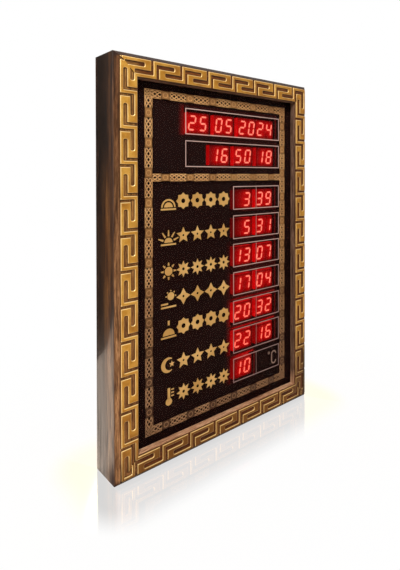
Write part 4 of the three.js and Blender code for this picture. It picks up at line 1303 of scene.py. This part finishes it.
def makeRing(node, recipe, body):
    looks = backLooks["ring"]
    half, corner = looks["half"], looks["corner"]
    depth, pivot = looks["pivot"]
    x, *_ = middleOf(node)
    path = [(corner - half, 0), (half - corner, 0), *arc(half - corner, -corner, corner, 90, 0, 6)[1:],
            *arc(0, looks["bow"], half, 0, -180, looks["steps"]),
            *arc(corner - half, -corner, corner, 180, 90, 6)[:-1]]
    edges = [(index, (index + 1) % len(path)) for index in range(len(path))]
    mesh = makeMesh("ringPath", [at(x + across, depth, pivot + up) for across, up in path], [], edges)
    ring = recipe.grow("wire_" + node, {"Wire": looks["wire"] * millimetre}, mesh)
    tidyMesh(ring.data, 50)
    return fit(ring, "zinc_steel", node, body=body)


def softened(node, width):  # a kept piece with its sharp edges slightly broken
    source = frame["nodes"][node]
    mesh = source.data.copy()
    mesh.transform(source.matrix_world)
    shape = bmesh.new()
    shape.from_mesh(mesh)
    bmesh.ops.remove_doubles(shape, verts=shape.verts, dist=1e-6)
    bmesh.ops.dissolve_limit(shape, angle_limit=math.radians(1), verts=shape.verts, edges=shape.edges)
    sharp = [edge for edge in shape.edges if edge.calc_face_angle(0) > math.radians(40)]
    bmesh.ops.bevel(shape, geom=sharp, offset=width * millimetre, segments=2, profile=0.5, affect="EDGES",
                    clamp_overlap=True)
    bmesh.ops.triangulate(shape, faces=[face for face in shape.faces if len(face.verts) > 4])
    shape.to_mesh(mesh)
    shape.free()
    mesh.materials.clear()
    mesh.materials.append(slotFinishes[nodeSlots[node]])
    piece = makeObject("soft_" + node, mesh)
    tidyMesh(mesh, 30)
    for polygon in mesh.polygons:  # the flat faces keep their own normals, so no shade runs across them
        polygon.use_smooth = max(abs(value) for value in polygon.normal) < 0.9999
    return fit(piece, nodeSlots[node], node)


for word in ("mode", "up", "down", "set"):
    makeButton(word + "_button", word + "_key")
makeKnob()
makeInlet()
screws = [node for node in nodeSlots if node.endswith("screw")]
crossRecipe = screwRecipe()
for place, node in enumerate(screws):
    makeScrew(node, crossRecipe, place * backLooks["screw"]["turn"])
wireRecipe = ringRecipe()
for side in ("left", "right"):
    makeRing(side + "_hanger_ring", wireRecipe, side + "_ring")
for node, width in backLooks["edges"].items():
    softened(node, width)
print("back:", len(screws), "screws, four buttons, a knob, the inlet, hangers and cover")


# Finishes of the pieces kept as built

for node, piece in frame["nodes"].items():
    for place in piece.material_slots:
        place.material = slotFinishes[nodeSlots[node]]
print("kept nodes finished")


# Stage

stageLooks = {
    "floor": 6.0, "floorColour": (0.90, 0.77, 0.66, 1.0), "fill": 0.42, "warm": (1.0, 0.93, 0.86, 1.0),
    "sideReflection": 0.33, "frontReflection": 0.25, "tint": (1.28, 1.06, 0.6, 1.0), "blur": 0.08,
    "fadeNear": 0.03, "fadeFar": 0.078, "sideHaste": 1.3, "cornerSlope": 2.1, "cornerBlend": 0.004,
    "shadow": 0.03, "shadowFar": 0.5,
    "card": {"line": [(-0.8, 0.857), (-0.345, 0.402), (-0.165, 0.33)], "height": 1.4,
             "hidden": ("camera", "diffuse", "shadow", "transmission")},
    "lamps": {"key_lamp": ((-0.55, -0.6, 1.25), 0.3, 15.0), "back_lamp": ((0.9, 1.2, 1.3), 1.2, 9.0)},
    "lampAim": (0, 0, 0.25),
    "camera": {"place": (-0.39644, -0.51678, 0.35794), "yaw": 0.753, "pitch": -0.011, "lens": 28.99,
               "shift": (-0.1088, -0.1839)},
}


def lightPath(graph, kind):
    return graph.node("ShaderNodeLightPath", out=f"Is {kind} Ray")


def makeWorld():
    world = bpy.data.worlds.new("studio")
    bpy.context.scene.world = world
    world.use_nodes = True
    graph = Graph(world.node_tree)
    seen, glossy, through = [lightPath(graph, kind) for kind in ("Camera", "Glossy", "Transmission")]
    background = world.node_tree.nodes["Background"].inputs
    graph.feed(background["Color"], graph.mix(seen, stageLooks["warm"], white))
    graph.feed(background["Strength"], graph.between(seen + glossy + through, 0.0, 1.0, stageLooks["fill"]))


def stagePlane(name, corners, faces=((0, 1, 2, 3),), **looks):
    finish = Finish(name, **looks)
    mesh = makeMesh(name, corners, faces)
    mesh.materials.append(finish.material)
    plane = makeObject(name, mesh)
    return plane, finish


def makeFloor():
    looks = stageLooks
    half, blend = looks["floor"] / 2, looks["cornerBlend"]
    corners = [(x, y, 0) for x, y in bar(-half, half, -half, half)]
    _, finish = stagePlane("studio_floor", corners, colour=looks["floorColour"], roughness=0.9, specular=0.0)
    mirroring = {"Color": looks["tint"], "Roughness": looks["blur"]}
    bright = finish.node("ShaderNodeEmission", {"Color": white, "Strength": 1.0})
    seen = lightPath(finish, "Camera")
    foot = (caseWidth / 2 * millimetre, caseBack / 2 * millimetre, 0)
    folded = finish.vector("ABSOLUTE", finish.node("ShaderNodeTexCoord", out="Object"))
    outside = finish.vector("MAXIMUM", finish.vector("SUBTRACT", folded, foot), (0, 0, 0))  # of the foot
    hasty = finish.vector("MULTIPLY", outside, (looks["sideHaste"], 1, 1))
    away = finish.vector("LENGTH", hasty, out="Value")
    left, ahead = [finish.axis(outside, name) for name in "XY"]
    front = finish.between(ahead - left * looks["cornerSlope"], -blend, blend,
                           looks["sideReflection"], looks["frontReflection"])
    dark = finish.between(away, 0.0, looks["shadowFar"], looks["shadow"], 0.0, "SMOOTHSTEP")
    mirror = finish.between(away, looks["fadeNear"], looks["fadeFar"], 1.0, 0.0, "SMOOTHSTEP") * front
    shaded = Wire(finish, finish.shader.outputs[0])
    plain = finish.node("ShaderNodeMixShader", {0: seen * (1 - dark), 1: shaded, 2: bright})
    glossy = finish.node("ShaderNodeBsdfAnisotropic", mirroring)
    mirrored = finish.node("ShaderNodeMixShader", {0: seen * mirror, 1: plain, 2: glossy})
    finish.feed(finish.tree.nodes["Material Output"].inputs[0], mirrored)


def makeDarkCard():  # stands behind and to the left, out of sight, and darkens what the upper side mirrors
    looks = stageLooks["card"]
    corners = [(*spot, height) for spot in looks["line"] for height in (0, looks["height"])]
    faces = ((0, 2, 3, 1), (2, 4, 5, 3))
    card, _ = stagePlane("dark_card", corners, faces, colour=(0.01, 0.01, 0.01, 1), specular=0.0)
    for kind in looks["hidden"]:
        setattr(card, "visible_" + kind, False)


def makeLamp(name, place, width, power):
    lamp = bpy.data.lights.new(name, "AREA")
    lamp.shape = "DISK"
    lamp.size = width
    lamp.energy = power
    holder = makeObject(name, lamp)
    holder.location = place
    way = Vector(stageLooks["lampAim"]) - Vector(place)
    holder.rotation_euler = way.to_track_quat("-Z", "Y").to_euler()
    holder.visible_camera = False


def makeCamera():
    looks = stageLooks["camera"]
    camera = bpy.data.cameras.new("camera")
    camera.lens = looks["lens"]
    camera.sensor_width = 36
    camera.shift_x, camera.shift_y = looks["shift"]
    camera.clip_start = 0.01
    holder = makeObject("camera", camera)
    holder.location = looks["place"]
    holder.rotation_euler = Euler((math.pi / 2 + looks["pitch"], 0, -looks["yaw"]))
    bpy.context.scene.camera = holder


makeWorld()
makeFloor()
makeDarkCard()
for name, looks in stageLooks["lamps"].items():
    makeLamp(name, *looks)
makeCamera()
bpy.context.scene.view_settings.view_transform = "Standard"
print("stage ready")
